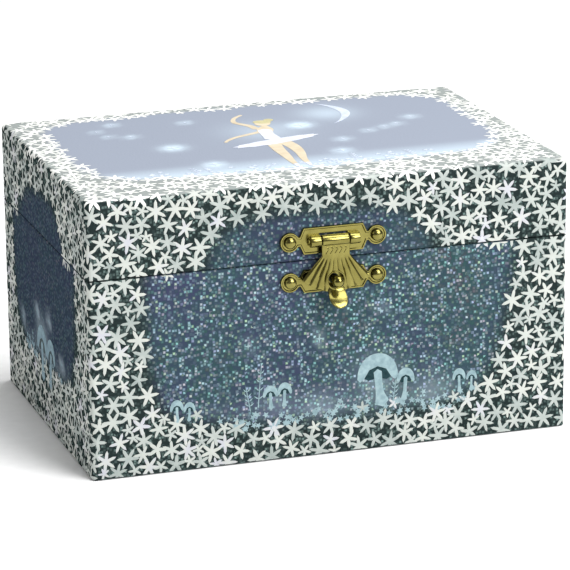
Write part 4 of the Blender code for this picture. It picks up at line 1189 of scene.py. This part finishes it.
def make_satin(name, deep, light, band=1.5708):
    """Woven satin: it gives a soft sheen across fine threads.

    A real thread is 0.1 mm; the bands are drawn more than 1.2 mm wide so that they show.
    """
    made, tree, surface, place = material(name, Roughness=0.35, Sheen_Weight=0.5, Anisotropic=0.5)
    scale = math.pi / (10 * band * MM)
    sockets = {"Vector": place, "Scale": scale, "Distortion": 1.2, "Detail": 2.0}
    weave = add_node(tree, "TexWave", sockets).outputs["Fac"]
    both = calc(tree, "MULTIPLY_ADD", weave, 0.25, noise(tree, place, 9, 3.0))
    link(tree, surface, Base_Color=ramp(tree, both, (0.3, deep), (0.85, light)),
         Normal=relief(tree, weave, 0.15, 0.06))
    return made


def make_metal(name, dark, light, grain, rough):
    """A bare metal: it gives brushed light and shade with duller patches where it was handled."""
    made, tree, surface, place = material(name, Metallic=1.0)
    cloud = noise(tree, place, grain, 5.0, Roughness=0.6)
    link(tree, surface, Base_Color=ramp(tree, cloud, (0.3, dark), (0.7, light)),
         Roughness=mapped(tree, cloud, (rough * 0.7, rough * 1.4)), Normal=relief(tree, cloud, 0.12, 0.05))
    return made


def make_mirror_silver():
    """Silvered glass: it gives a clear reflection with a faint cool tint and a breath of haze."""
    made, tree, surface, place = material("silvered_glass", Metallic=1.0)
    breath = noise(tree, place, 22, 3.0)
    link(tree, surface, Base_Color=ramp(tree, breath, (0.3, "#dfe8e6"), (0.7, "#e8edeb")),
         Roughness=mapped(tree, breath, (0.01, 0.05), (0.4, 0.8)))
    return made


def make_paint(name, low, high, rough=0.45):
    """Brushed enamel on moulded plastic: it gives soft flat colour with slight pooling."""
    made, tree, surface, place = material(name, Coat_Weight=0.25, Subsurface_Weight=0.05,
                                          Subsurface_Radius=(1 * MM, 0.5 * MM, 0.3 * MM))
    pool = noise(tree, place, 2.2, 3.0)
    link(tree, surface, Base_Color=ramp(tree, pool, (0.3, low), (0.7, high)),
         Roughness=mapped(tree, pool, (rough * 0.8, rough * 1.3)))
    return made


def make_tulle():
    """Stiff tulle: it gives crossed threads with light between them, and glitter dots.

    A real hole is 0.6 mm; it is drawn at 0.9 mm so that it shows.
    """
    made, tree, surface, place = material("glitter_tulle", Roughness=0.6, Sheen_Weight=0.6)
    net = cells(tree, place, 0.9, feature="DISTANCE_TO_EDGE").outputs["Distance"]
    thread = mapped(tree, net, (1.0, 0.3), (0.1, 0.22))
    glitter = mapped(tree, cells(tree, place, 2.4).outputs["Distance"], (1.0, 0.0), (0.08, 0.14))
    link(tree, surface, Base_Color=mix(tree, glitter, "#98a3bf", "#c9c6bc"),
         Alpha=calc(tree, "MAXIMUM", thread, glitter))
    return made


VELVET = make_velvet("midnight_blue_velvet", "#151d44", "#34457f")
BOARD = make_board()
FELT = make_felt()
SATIN = make_satin("powder_blue_satin", "#5f74a8", "#93a8d2")
RIBBON_SATIN = make_satin("silver_blue_ribbon_satin", "#8f9fc4", "#c3cfe6", 1.2566)
STEEL = make_metal("bright_drawn_steel", "#8f9498", "#b9bdc0", 3.0, 0.28)
SPRING_STEEL = make_metal("blued_spring_steel", "#5a626c", "#838b94", 2.2, 0.35)
ZINC = make_metal("cast_zinc", "#7d8083", "#9c9fa1", 1.1, 0.5)
MIRROR_SILVER = make_mirror_silver()
BLACK_PLASTIC = make_paint("black_governor_plastic", "#17181b", "#26282c", 0.4)
SKIN_PAINT = make_paint("warm_skin_enamel", "#c39678", "#d0a88c")
BODICE_PAINT = make_paint("pale_blue_enamel", "#9db6dc", "#b7cbe9", 0.3)
HAIR_PAINT = make_paint("chestnut_enamel", "#4b2c1c", "#653f29")
SLIPPER_PAINT = make_paint("rose_slipper_enamel", "#d98fa0", "#e6a6b4", 0.3)
EYE_PAINT = make_paint("dark_line_enamel", "#2a1f1d", "#3a2c28", 0.3)
TULLE = make_tulle()


# Places inside the box

SPINDLE_LOW, SPINDLE_HIGH = span("spindle")
DRIVE_Y = (SPINDLE_LOW.y + SPINDLE_HIGH.y) / 2
FLANGE_Z = SPINDLE_HIGH.z + 0.6
STOP_LOW, STOP_HIGH = span("stop_rod")
STOP_X, STOP_Y = STOP_HIGH.x - 0.7, STOP_LOW.y + 0.7
TRAY_LOW, TRAY_HIGH = span("tray_lining")
WALL_LOW, WALL_HIGH = span("rear_partition")
DIVIDER_LOW, DIVIDER_HIGH = span("right_divider")
STAGE_LOW, STAGE_HIGH = span("stage_platform")
BACK_LOW = span("back_board")[0]
MIRROR_LOW, MIRROR_HIGH = span("mirror")
SURROUND_LOW, SURROUND_HIGH = span("mirror_surround")
FLOCK = 0.8


def lined_well(name, low, high, corner=1.5):
    """An open tray of flocked card, its upright corners and its floor edge rounded."""
    tray = add_block(name, low, high)
    with editing(tray):
        pick(tray, lambda middle, facing: facing.z > 0.9)
        bpy.ops.mesh.delete(type="FACE")
        pick(tray, lambda middle, way: abs(way.z) > 0.9, "edges")
        bevel(corner, 4)
        pick(tray, lambda middle, way: middle.z < low[2] + 0.01, "edges")
        bevel(0.7, 2)
    apply_modifier(tray, "SOLIDIFY", thickness=FLOCK * MM, offset=-1)
    apply_modifier(tray, "BEVEL", width=0.25 * MM, segments=2, limit_method="ANGLE",
                   angle_limit=math.radians(60))
    soften(tray)
    return tray


def flocked_block(name, low, high, node, cutters=()):
    block = add_block(name, low, high)
    trim(block, *cutters)
    round_edges(block, 0.5, 3)
    soften(block)
    settle(block, "case", VELVET, "velvet", node)


def make_linings():
    tray = lined_well("velvet_tray", TRAY_LOW, TRAY_HIGH)
    settle(tray, "case", VELVET, "velvet", "tray_lining")
    flocked_block("flocked_partition", WALL_LOW, WALL_HIGH, "rear_partition")
    flocked_block("flocked_left_divider", *span("left_divider"), "left_divider")
    flocked_block("flocked_right_divider", DIVIDER_LOW, DIVIDER_HIGH, "right_divider")
    spindle = add_rod("spindle_hole", 3.5, 10, 32, (0, DRIVE_Y, STAGE_HIGH.z))
    stop = add_rod("stop_hole", 1.3, 10, 20, (STOP_X, STOP_Y, STAGE_HIGH.z))
    flocked_block("flocked_stage", STAGE_LOW, STAGE_HIGH, "stage_platform", (spindle, stop))
    for side in (-1, 1):
        ends = sorted((side * (DIVIDER_HIGH.x + 0.2), side * (TRAY_HIGH.x + 0.1)))
        low = Vector((ends[0], WALL_HIGH.y + 0.2, TRAY_LOW.z))
        high = Vector((ends[1], BACK_LOW.y - 0.2, WALL_HIGH.z - 0.6))
        well = lined_well("left_well_lining" if side < 0 else "right_well_lining", low, high)
        settle(well, "case", VELVET, "velvet")


def make_wall_lining(name, body, half_x, half_y, low, high, finish, slot):
    """Thin paper pasted inside four walls, with rounded corners."""
    lining = add_block(name, (-half_x, -half_y, low), (half_x, half_y, high))
    with editing(lining):
        pick(lining, lambda middle, facing: abs(facing.z) > 0.9)
        bpy.ops.mesh.delete(type="FACE")
        pick(lining, lambda middle, way: abs(way.z) > 0.9, "edges")
        bevel(0.6, 3)
    apply_modifier(lining, "SOLIDIFY", thickness=0.2 * MM, offset=-1)
    soften(lining)
    settle(lining, body, finish, slot)


def make_stage_ring():
    """The grommet that dresses the spindle's hole in the platform."""
    clear_selection()
    bpy.ops.mesh.primitive_torus_add(major_segments=40, minor_segments=10, major_radius=3.9 * MM,
                                     minor_radius=0.45 * MM,
                                     location=(0, DRIVE_Y * MM, (STAGE_HIGH.z + 0.1) * MM))
    ring = fresh("stage_grommet")
    with editing(ring):
        pick(ring, lambda place, way: place.z < STAGE_HIGH.z - 0.15, "verts")
        bpy.ops.mesh.delete(type="VERT")
        pick_all()
        bpy.ops.mesh.region_to_loop()
        bpy.ops.mesh.bridge_edge_loops()
        close_shell()
    soften(ring, 50)
    settle(ring, "case", BRASS, "polished_brass")


def make_mirror():
    glass = add_block("bevelled_mirror", MIRROR_LOW, MIRROR_HIGH)
    with editing(glass):
        pick(glass, lambda middle, facing: facing.z < -0.9)
        inset(2.2)
        pick(glass, lambda middle, way: abs(middle.z - MIRROR_LOW.z) < 0.01
             and (abs(middle.x) > MIRROR_HIGH.x - 0.1 or abs(middle.y) > MIRROR_HIGH.y - 0.1), "edges")
        bpy.ops.transform.translate(value=(0, 0, 0.5 * MM))
    settle(glass, "lid", MIRROR_SILVER, "mirror_glass", "mirror")


def make_surround():
    """The padded satin card round the mirror, soft at its window and its corners."""
    card = add_block("satin_mirror_surround", SURROUND_LOW, SURROUND_HIGH)
    window = add_block("mirror_window", (MIRROR_LOW.x + 4, MIRROR_LOW.y + 4, SURROUND_LOW.z - 2),
                       (MIRROR_HIGH.x - 4, MIRROR_HIGH.y - 4, SURROUND_HIGH.z + 2))
    with editing(window):
        pick(window, lambda middle, way: abs(way.z) > 0.9, "edges")
        bevel(4, 8)
    trim(card, window)
    round_edges(card, 0.4, 3)
    soften(card)
    settle(card, "lid", SATIN, "satin_card", "mirror_surround")


# The back: hinge nails on the CAD leaves

def make_hinge_nails():
    head = add_rod("hinge_nail", 1.0, 0.5, 16)
    with editing(head):
        pick(head, lambda middle, facing: facing.z > 0.9)
        inset(0.35, 0.28)
        inset(0.3, 0.08)
    soften(head, 50)
    for body, node in (("case", "hinge_case_leaf"), ("lid", "hinge_lid_leaf")):
        nails = []
        for label in ("left", "right"):
            low, high = span(f"{node}_{label}")
            height = low.z + 3.2 if body == "case" else high.z - 3.2
            for side in (-1, 1):
                place = ((low.x + high.x) / 2 + side * 6, HALF_Y + 1.05, height)
                nails.append(lay(twin(head, f"{node}_{label}_nail"), BACK_PANEL[0], place))
        settle(merge(f"{node}_nails", nails), body, BRASS, "polished_brass")
    bpy.data.objects.remove(head)


# The musical movement

CYLINDER_LOW, CYLINDER_HIGH = span("pin_cylinder")
COMB_LOW, COMB_HIGH = span("comb")
DRUM_Z = (CYLINDER_LOW.z + CYLINDER_HIGH.z) / 2
DRUM_R = 5.2
COMB_TEETH = 18
PINS_A_TOOTH = 9


def make_cylinder_pins():
    """Nine short pins under each comb tooth, scattered round the drum: they play no real tune."""
    pin = add_rod("tune_pin", 0.16, 0.8, 6)
    with editing(pin):
        pick(pin, lambda middle, facing: facing.z > 0.9)
        inset(0.06, 0.06)
    pins = []
    pitch = (COMB_HIGH.x - COMB_LOW.x) / COMB_TEETH
    for tooth in range(COMB_TEETH):
        for _ in range(PINS_A_TOOTH):
            angle = DICE.uniform(-0.7, 4.2) + math.pi
            turn = Matrix.Rotation(angle, 3, "X")
            axle = Vector((COMB_LOW.x + (tooth + 0.4) * pitch, DRIVE_Y, DRUM_Z))
            place = turn @ Vector((0, 0, DRUM_R + 0.1)) + axle
            pins.append(lay(twin(pin, "tune_pin"), turn, place))
    bpy.data.objects.remove(pin)
    settle(merge("tune_pins", pins), "cylinder", BRASS, "polished_brass")


FERRULE_LOW, FERRULE_HIGH = span("foot_ferrule")
FIGURE_HIGH = span("ballerina_figure")[1]
TUTU_LOW, TUTU_HIGH = span("tutu")
FOLD_Z = (FERRULE_LOW.z + FERRULE_HIGH.z) / 2
FOOT = DRIVE_Y - FIGURE_HIGH.y
WAIST = DRIVE_Y - (TUTU_LOW.y + TUTU_HIGH.y) / 2 + 0.5
WAIST_R = 3.0
HIP, CHEST, NECK, CROWN = WAIST - 2, WAIST + 8, WAIST + 11.5, WAIST + 17.5


def make_figure_spring():
    """The close coil, bent as it lies under the folded dancer."""
    start, end = Vector((0, DRIVE_Y, FLANGE_Z)), Vector((0, FERRULE_HIGH.y + 0.7, FOLD_Z))
    rise, run = end.z - start.z, start.y - end.y
    coil, wire = 1.5, 0.3
    turns, per_turn = 8, 20
    points = []
    for i in range(turns * per_turn + 1):
        share = i / (turns * per_turn)
        lean = share * math.pi / 2
        arc = Vector((0, start.y - run * (1 - math.cos(lean)), start.z + rise * math.sin(lean)))
        corner = Vector((0, start.y - run * max(0, 2 * share - 1), start.z + rise * min(1, 2 * share)))
        centre = (arc + corner) / 2
        outward = Vector((0, math.cos(lean), math.sin(lean)))
        angle = math.tau * turns * share
        points.append(centre + coil * (math.cos(angle) * Vector((1, 0, 0)) + math.sin(angle) * outward))
    spring = wire_of("dancer_spring", points, [1] * len(points), wire, 8)
    soften(spring, 60)
    dress(spring, SPRING_STEEL, "spring_steel", "figure_spring")
    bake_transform(spring)


# The dancer, modelled standing: x to her left, -y to her front, z up from the fold joint

def fold_down(piece):
    """Lays a standing piece on her face, as she rests under the closed lid."""
    return lay(piece, FRONT, (0, DRIVE_Y, FOLD_Z))


def tube(name, points, radii, sides=12, steps=4):
    """A limb: a round section carried along a smooth curve, its radius changing on the way."""
    rows = smooth_path([(*p, r) for p, r in zip(points, radii)], steps)
    return wire_of(name, [row[:3] for row in rows], [row[3] for row in rows], 1, sides)


def wire_of(name, points, radii, bevel, sides):
    """A curve through the points with a round section, turned into a mesh with closed ends."""
    clear_selection()
    bpy.ops.curve.primitive_bezier_curve_add()
    line = bpy.context.object
    line.data.splines.clear()
    spline = line.data.splines.new("POLY")
    spline.points.add(len(points) - 1)
    for point, place, radius in zip(spline.points, points, radii):
        point.co = (*(Vector(place) * MM), 1)
        point.radius = radius
    line.data.dimensions = "3D"
    line.data.bevel_depth = bevel * MM
    line.data.bevel_resolution = max(1, (sides - 4) // 2)
    line.data.use_fill_caps = True
    bpy.ops.object.convert(target="MESH")
    made = fresh(name)
    with editing(made):
        pick_all()
        bpy.ops.mesh.remove_doubles(threshold=1e-7)
        bpy.ops.mesh.normals_make_consistent(inside=False)
    return made


def ball(name, centre, radii, segments=24):
    clear_selection()
    bpy.ops.mesh.primitive_uv_sphere_add(segments=segments, ring_count=segments * 2 // 3, radius=MM,
                                         location=Vector(centre) * MM)
    bpy.context.object.scale = radii
    return fresh(name)


def moulded(name, pieces, grain, smoothing):
    """Fuses overlapping shapes into one skin, as a mould would cast them."""
    whole = merge(name, pieces)
    apply_modifier(whole, "REMESH", mode="VOXEL", voxel_size=grain * MM)
    apply_modifier(whole, "SMOOTH", factor=0.5, iterations=smoothing)
    soften(whole, 80)
    return whole


def make_dancer_skin():
    leg = [(0, 0.1, FOOT), (0, -0.2, FOOT + 2.6), (0.05, 0.1, FOOT + 6), (0.15, 0.35, FOOT + 9.5),
           (0.3, -0.05, FOOT + 13.5),
           (0.5, 0, FOOT + 18), (1.0, 0.1, HIP)]
    other = [(-0.8, 0.9, FOOT + 1.2), (-0.95, 0.45, FOOT + 3.6), (-0.95, 0.5, FOOT + 7),
             (-0.9, 0.6, FOOT + 10.2),
             (-0.9, 0.1, FOOT + 14), (-1.0, 0.05, FOOT + 18), (-1.1, 0.1, HIP)]
    widths = [0.45, 0.62, 1.0, 1.2, 0.98, 1.4, 1.8]
    parts = [tube("leg", leg, widths), tube("lifted_leg", other, widths)]
    torso = [(0, 0, HIP - 1), (0, 0.1, HIP + 1), (0, 0, WAIST + 2.4), (0, -0.1, WAIST + 6),
             (0, 0, CHEST + 0.6), (0, 0.2, CHEST + 2)]
    parts.append(tube("torso", torso, [1.6, 2.5, 1.6, 2.25, 2.0, 1.0]))
    parts.append(ball("shoulders", (0, 0.1, CHEST + 0.2), (2.5, 1.2, 1.1)))
    parts.append(tube("neck", [(0, 0.2, CHEST), (0, 0.1, NECK - 0.4), (0, 0, NECK + 1.4)],
                      [1.0, 0.85, 0.95]))
    parts.append(ball("head", (0, -0.1, NECK + 2.7), (1.75, 1.95, 2.45)))
    parts.append(ball("chin", (0, -0.75, NECK + 1.2), (0.95, 0.9, 0.8)))
    parts.append(ball("nose", (0, -2.0, NECK + 2.35), (0.24, 0.38, 0.4), 12))
    for side in (-1, 1):
        arm = [(side * 1.9, 0.1, CHEST + 0.5), (side * 3.5, -0.1, CHEST + 1.4),
               (side * 5.4, -0.6, CHEST + 3.6), (side * 6.1, -1.1, CHEST + 6.4),
               (side * 5.2, -1.6, CHEST + 9.4), (side * 3.4, -1.9, CHEST + 11.6),
               (side * 1.2, -2.0, CHEST + 12.9)]
        parts.append(tube("arm", arm, [0.95, 0.85, 0.72, 0.7, 0.55, 0.45, 0.28]))
        parts.append(ball("ear", (side * 1.72, 0.2, NECK + 2.5), (0.25, 0.4, 0.6), 12))
    skin = moulded("dancer_skin", parts, 0.19, 3)
    settle(fold_down(skin), "ballerina", SKIN_PAINT, "moulded_plastic", "ballerina_figure")


def make_dancer_dress():
    rows = [(0, 0.1, HIP - 0.4), (0, 0.1, HIP + 1), (0, 0, WAIST + 2.4), (0, -0.15, WAIST + 5.4),
            (0, -0.1, WAIST + 7)]
    shell = [tube("bodice_body", rows, [2.6, 2.7, 1.8, 2.5, 2.2], 16)]
    shell += [ball("bodice_bust", (side * 0.95, -1.15, WAIST + 5.7), (1.15, 1.1, 1.1)) for side in (-1, 1)]
    bodice = moulded("dancer_bodice", shell, 0.19, 3)
    settle(fold_down(bodice), "ballerina", BODICE_PAINT, "moulded_plastic")
    straps = []
    for side in (-1, 1):
        path = [(side * 1.2, -2.0, WAIST + 6.6), (side * 1.5, -1.2, CHEST + 0.9),
                (side * 1.5, 0.1, CHEST + 1.25), (side * 1.3, 1.5, WAIST + 6.6)]
        straps.append(tube("bodice_strap", path, [0.24] * 4, 8))
    settle(fold_down(merge("dancer_straps", straps)), "ballerina", BODICE_PAINT, "moulded_plastic")


def make_dancer_head():
    hair = [ball("hair_cap", (0, 0.45, NECK + 3.3), (1.98, 1.95, 2.3)),
            ball("hair_bun", (0, 1.9, CROWN - 0.6), (1.35, 1.25, 1.3))]
    cap = hair[0]
    with editing(cap):
        pick(cap, lambda place, way: place.y < -1.0 and place.z < NECK + 4.4, "verts")
        bpy.ops.mesh.delete(type="VERT")
        pick_all()
        bpy.ops.mesh.region_to_loop()
        bpy.ops.mesh.edge_face_add()
    whole = moulded("dancer_hair", hair, 0.17, 2)
    settle(fold_down(whole), "ballerina", HAIR_PAINT, "moulded_plastic")
    band = wire_of("bun_ribbon", [(0.95 * math.cos(a), 1.45 + 0.95 * math.sin(a) * 0.5,
                                   CROWN - 1.2 + 0.95 * math.sin(a) * 0.86)
                                  for a in [math.tau * i / 24 for i in range(25)]], [1] * 25, 0.22, 8)
    settle(fold_down(band), "ballerina", BODICE_PAINT, "moulded_plastic")
    lines = []
    for side in (-1, 1):
        lid_line = [(side * (0.68 + 0.34 * math.cos(a)), -1.78 - 0.07 * math.sin(a),
                     NECK + 2.72 - 0.14 * math.sin(a))
                    for a in [math.pi * i / 6 for i in range(7)]]
        lines.append(wire_of("closed_eye", lid_line, [0.5, 1, 1, 1, 1, 1, 0.5], 0.08, 6))
    settle(fold_down(merge("dancer_closed_eyes", lines)), "ballerina", EYE_PAINT, "moulded_plastic")
    mouth = ball("dancer_mouth", (0, -1.66, NECK + 1.5), (0.36, 0.14, 0.14), 12)
    settle(fold_down(mouth), "ballerina", SLIPPER_PAINT, "moulded_plastic")


def make_dancer_slippers():
    toes = [tube("slipper", [(0, 0.1, FOOT - 0.05), (0, -0.1, FOOT + 1.2), (0, -0.2, FOOT + 2.4)],
                 [0.48, 0.72, 0.78]),
            tube("lifted_slipper", [(-0.8, 0.95, FOOT + 1.1), (-0.9, 0.7, FOOT + 2.2),
                                    (-0.95, 0.47, FOOT + 3.4)], [0.48, 0.72, 0.78])]
    for x, y, z in ((0.02, -0.1, FOOT + 3.6), (-0.95, 0.46, FOOT + 4.6), (0.03, 0.0, FOOT + 4.4),
                    (-0.95, 0.47, FOOT + 5.4)):
        ring = [(x + 0.86 * math.cos(a), y + 0.86 * math.sin(a), z + 0.25 * math.sin(a))
                for a in [math.tau * i / 16 for i in range(17)]]
        toes.append(wire_of("slipper_lace", ring, [1] * 17, 0.12, 6))
    slippers = merge("dancer_slippers", toes)
    soften(slippers, 60)
    settle(fold_down(slippers), "ballerina", SLIPPER_PAINT, "moulded_plastic")


def make_tutu():
    """Three layers of tulle, gathered at the waist: each is a ring of cloth whose folds deepen outwards."""
    layers = ((13.9, 0.15, 12, 0.42), (13.0, -0.15, 14, 0.36), (11.8, -0.42, 11, 0.3))
    for number, (radius, drop, folds, depth) in enumerate(layers, 1):
        clear_selection()
        bpy.ops.mesh.primitive_circle_add(vertices=168, radius=WAIST_R * MM, fill_type="NOTHING",
                                          location=(0, 0, (WAIST + drop) * MM))
        layer = fresh(f"tutu_layer_{number}")
        with editing(layer):
            pick_all()
            reach = WAIST_R
            for step in range(1, 9):
                target = WAIST_R + (radius - WAIST_R) * step / 8
                bpy.ops.mesh.extrude_edges_move()
                bpy.ops.transform.resize(value=(target / reach, target / reach, 1))
                reach = target
        for point in layer.data.vertices:
            place = point.co / MM
            out = max(0, (math.hypot(place.x, place.y) - WAIST_R) / (radius - WAIST_R))
            angle = math.atan2(place.y, place.x)
            wave = math.sin(folds * angle + number) + 0.35 * math.sin((folds * 2 + 5) * angle + number * 2)
            point.co.z += MM * depth * wave * out ** 1.3
        with editing(layer):
            close_shell()
        soften(layer, 80)
        settle(fold_down(layer), "ballerina", TULLE, "tulle", *(("tutu",) if number == 1 else ()))


# The ribbon stay, straight when the lid is open; it is modelled folded beside the left wall, as it lies when
# the lid is shut

LID_TURN = math.radians(100)
HINGE_LOW, HINGE_HIGH = span("hinge_pin_left")
HINGE = (HINGE_LOW + HINGE_HIGH) / 2
STAY_LOW, STAY_HIGH = span("ribbon_stay")
STAY_FOOT, STAY_HEAD = STAY_LOW.z + 0.5, STAY_HIGH.z - 0.5
STAY_WIDTH = 6.0


def turned_with_lid(y, z, angle):
    across, up = y - HINGE.y, z - HINGE.z
    cosine, sine = math.cos(angle), math.sin(angle)
    return HINGE.y + across * cosine + up * sine, HINGE.z - across * sine + up * cosine


def shut_place(y, z):
    """Where a point of the open, straight ribbon lies when the lid is shut.

    Each point is turned back by its own share of the lid's angle, a share that grows smoothly with the
    height it reaches.
    """
    low, high = 0.0, 1.0
    for _ in range(30):
        share = (low + high) / 2
        _, height = turned_with_lid(y, z, -share * LID_TURN)
        t = max(0, min(1, (height - STAY_FOOT) / (STAY_HEAD - STAY_FOOT)))
        if t * t * (3 - 2 * t) > share:
            low = share
        else:
            high = share
    return turned_with_lid(y, z, -share * LID_TURN)


def make_ribbon_stay():
    foot_y, foot_z = STAY_LOW.y + 3.0, STAY_FOOT + 1.0
    head_y, head_z = turned_with_lid(foot_y, STAY_HEAD - 1.0, LID_TURN)
    run = Vector((head_y - foot_y, head_z - foot_z))
    across = Vector((-run.y, run.x)).normalized()
    columns, rows = 6, 60
    clear_selection()
    bpy.ops.mesh.primitive_grid_add(x_subdivisions=columns, y_subdivisions=rows, size=1)
    tape = fresh("ribbon_stay_tape")
    for point in tape.data.vertices:
        side, share = point.co.x * STAY_WIDTH, point.co.y + 0.5
        y, z = Vector((foot_y, foot_z)) + run * share + across * side
        y, z = shut_place(y, z)
        lift = 0.35 * math.sin(math.pi * share) ** 2
        point.co = Vector((STAY_LOW.x + 0.35 + lift, y, z)) * MM
    apply_modifier(tape, "SOLIDIFY", thickness=0.25 * MM, offset=0)
    with editing(tape):
        close_shell()
    soften(tape, 50)
    dress(tape, RIBBON_SATIN, "ribbon", "ribbon_stay")
    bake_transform(tape)


# CAD nodes that show as they are, dressed in their materials

NODE_FINISHES = {
    BOARD: ("bottom_board", "front_board", "back_board", "left_board", "right_board", "lid_top_board",
            "lid_front_board",
            "lid_back_board", "lid_left_board", "lid_right_board"),
    FELT: ("base_sheet",),
    ZINC: ("movement_bedplate", "governor_bracket"),
    BRASS: ("hinge_case_leaf_left", "hinge_case_leaf_right", "hinge_lid_leaf_left",
            "hinge_lid_leaf_right", "hasp_pin",
            "winding_key", "spring_barrel", "crown_wheel", "pin_cylinder", "cylinder_gear",
            "governor_wheel", "foot_ferrule"),
    STEEL: ("comb_screw_left", "comb_screw_right", "bedplate_screw_left", "bedplate_screw_right",
            "hinge_pin_left",
            "hinge_pin_right", "winding_arbor", "spindle", "governor_worm", "stop_rod"),
    SPRING_STEEL: ("comb", "mainspring"),
    BLACK_PLASTIC: ("air_brake",),
}


def dress_nodes():
    for finish, names in NODE_FINISHES.items():
        for name in names:
            slots = bpy.data.objects[name].material_slots
            for slot in slots:
                slot.material = finish


make_linings()
make_stage_ring()
make_mirror()
make_surround()
make_wall_lining("case_wall_lining", "case", TRAY_HIGH.x + 0.28, BACK_LOW.y - 0.02, WALL_HIGH.z - 8,
                 CASE_HIGH.z - 0.5, VELVET, "velvet")
make_wall_lining("lid_wall_lining", "lid", SURROUND_HIGH.x + 0.28, SURROUND_HIGH.y + 0.28,
                 LID_LOW.z + 0.5, SURROUND_LOW.z - 0.15,
                 SATIN, "satin_card")
make_hinge_nails()
make_cylinder_pins()
make_figure_spring()
make_dancer_skin()
make_dancer_dress()
make_dancer_head()
make_dancer_slippers()
make_tutu()
make_ribbon_stay()
dress_nodes()


# Floor, light and camera

def make_stage():
    clear_selection()
    bpy.ops.mesh.primitive_plane_add(size=6, location=(0, 0, 0))
    floor = fresh("studio_floor")
    made, tree, surface, place = material("white_sweep_paper", Roughness=0.9)
    tooth = noise(tree, place, 4, 2.0)
    link(tree, surface, Base_Color=ramp(tree, tooth, (0.2, "#f4f4f4"), (0.8, "#fafafa")))
    floor.data.materials.append(made)

    bpy.context.scene.view_settings.view_transform = "Standard"
    world = bpy.data.worlds.new("soft_studio")
    bpy.context.scene.world = world
    world.use_nodes = True
    sky = world.node_tree.nodes["Background"].inputs
    sky["Color"].default_value = (1, 1, 1, 1)
    sky["Strength"].default_value = 0.2

    lamps = (("key_softbox", (0.5, -0.95, 0.75), 0.7, 18), ("top_softbox", (0.42, 0.0, 1.3), 1.0, 21),
             ("fill_softbox", (-1.2, 0.15, 0.55), 0.9, 6))
    for name, place, size, power in lamps:
        lamp = bpy.data.objects.new(name, bpy.data.lights.new(name, "AREA"))
        bpy.context.scene.collection.objects.link(lamp)
        lamp.data.size, lamp.data.energy = size, power
        lamp.location = place
        lamp.rotation_euler = (Vector((0, 0, 0.04)) - Vector(place)).to_track_quat("-Z", "Y").to_euler()


def make_camera():
    camera = bpy.data.objects.new("camera", bpy.data.cameras.new("camera"))
    bpy.context.scene.collection.objects.link(camera)
    camera.data.lens, camera.data.sensor_width = 212.5, 36
    camera.data.clip_start, camera.data.clip_end = 0.05, 20
    forward, right = Vector((0.29644, 0.91233, -0.28246)), Vector((0.95005, -0.31193, -0.01043))
    up = right.cross(forward)
    turn = Matrix((right, up, -forward)).transposed()
    camera.matrix_world = Matrix.Translation((-0.31953, -0.98933, 0.34587)) @ turn.to_4x4()
    bpy.context.scene.camera = camera


make_stage()
make_camera()
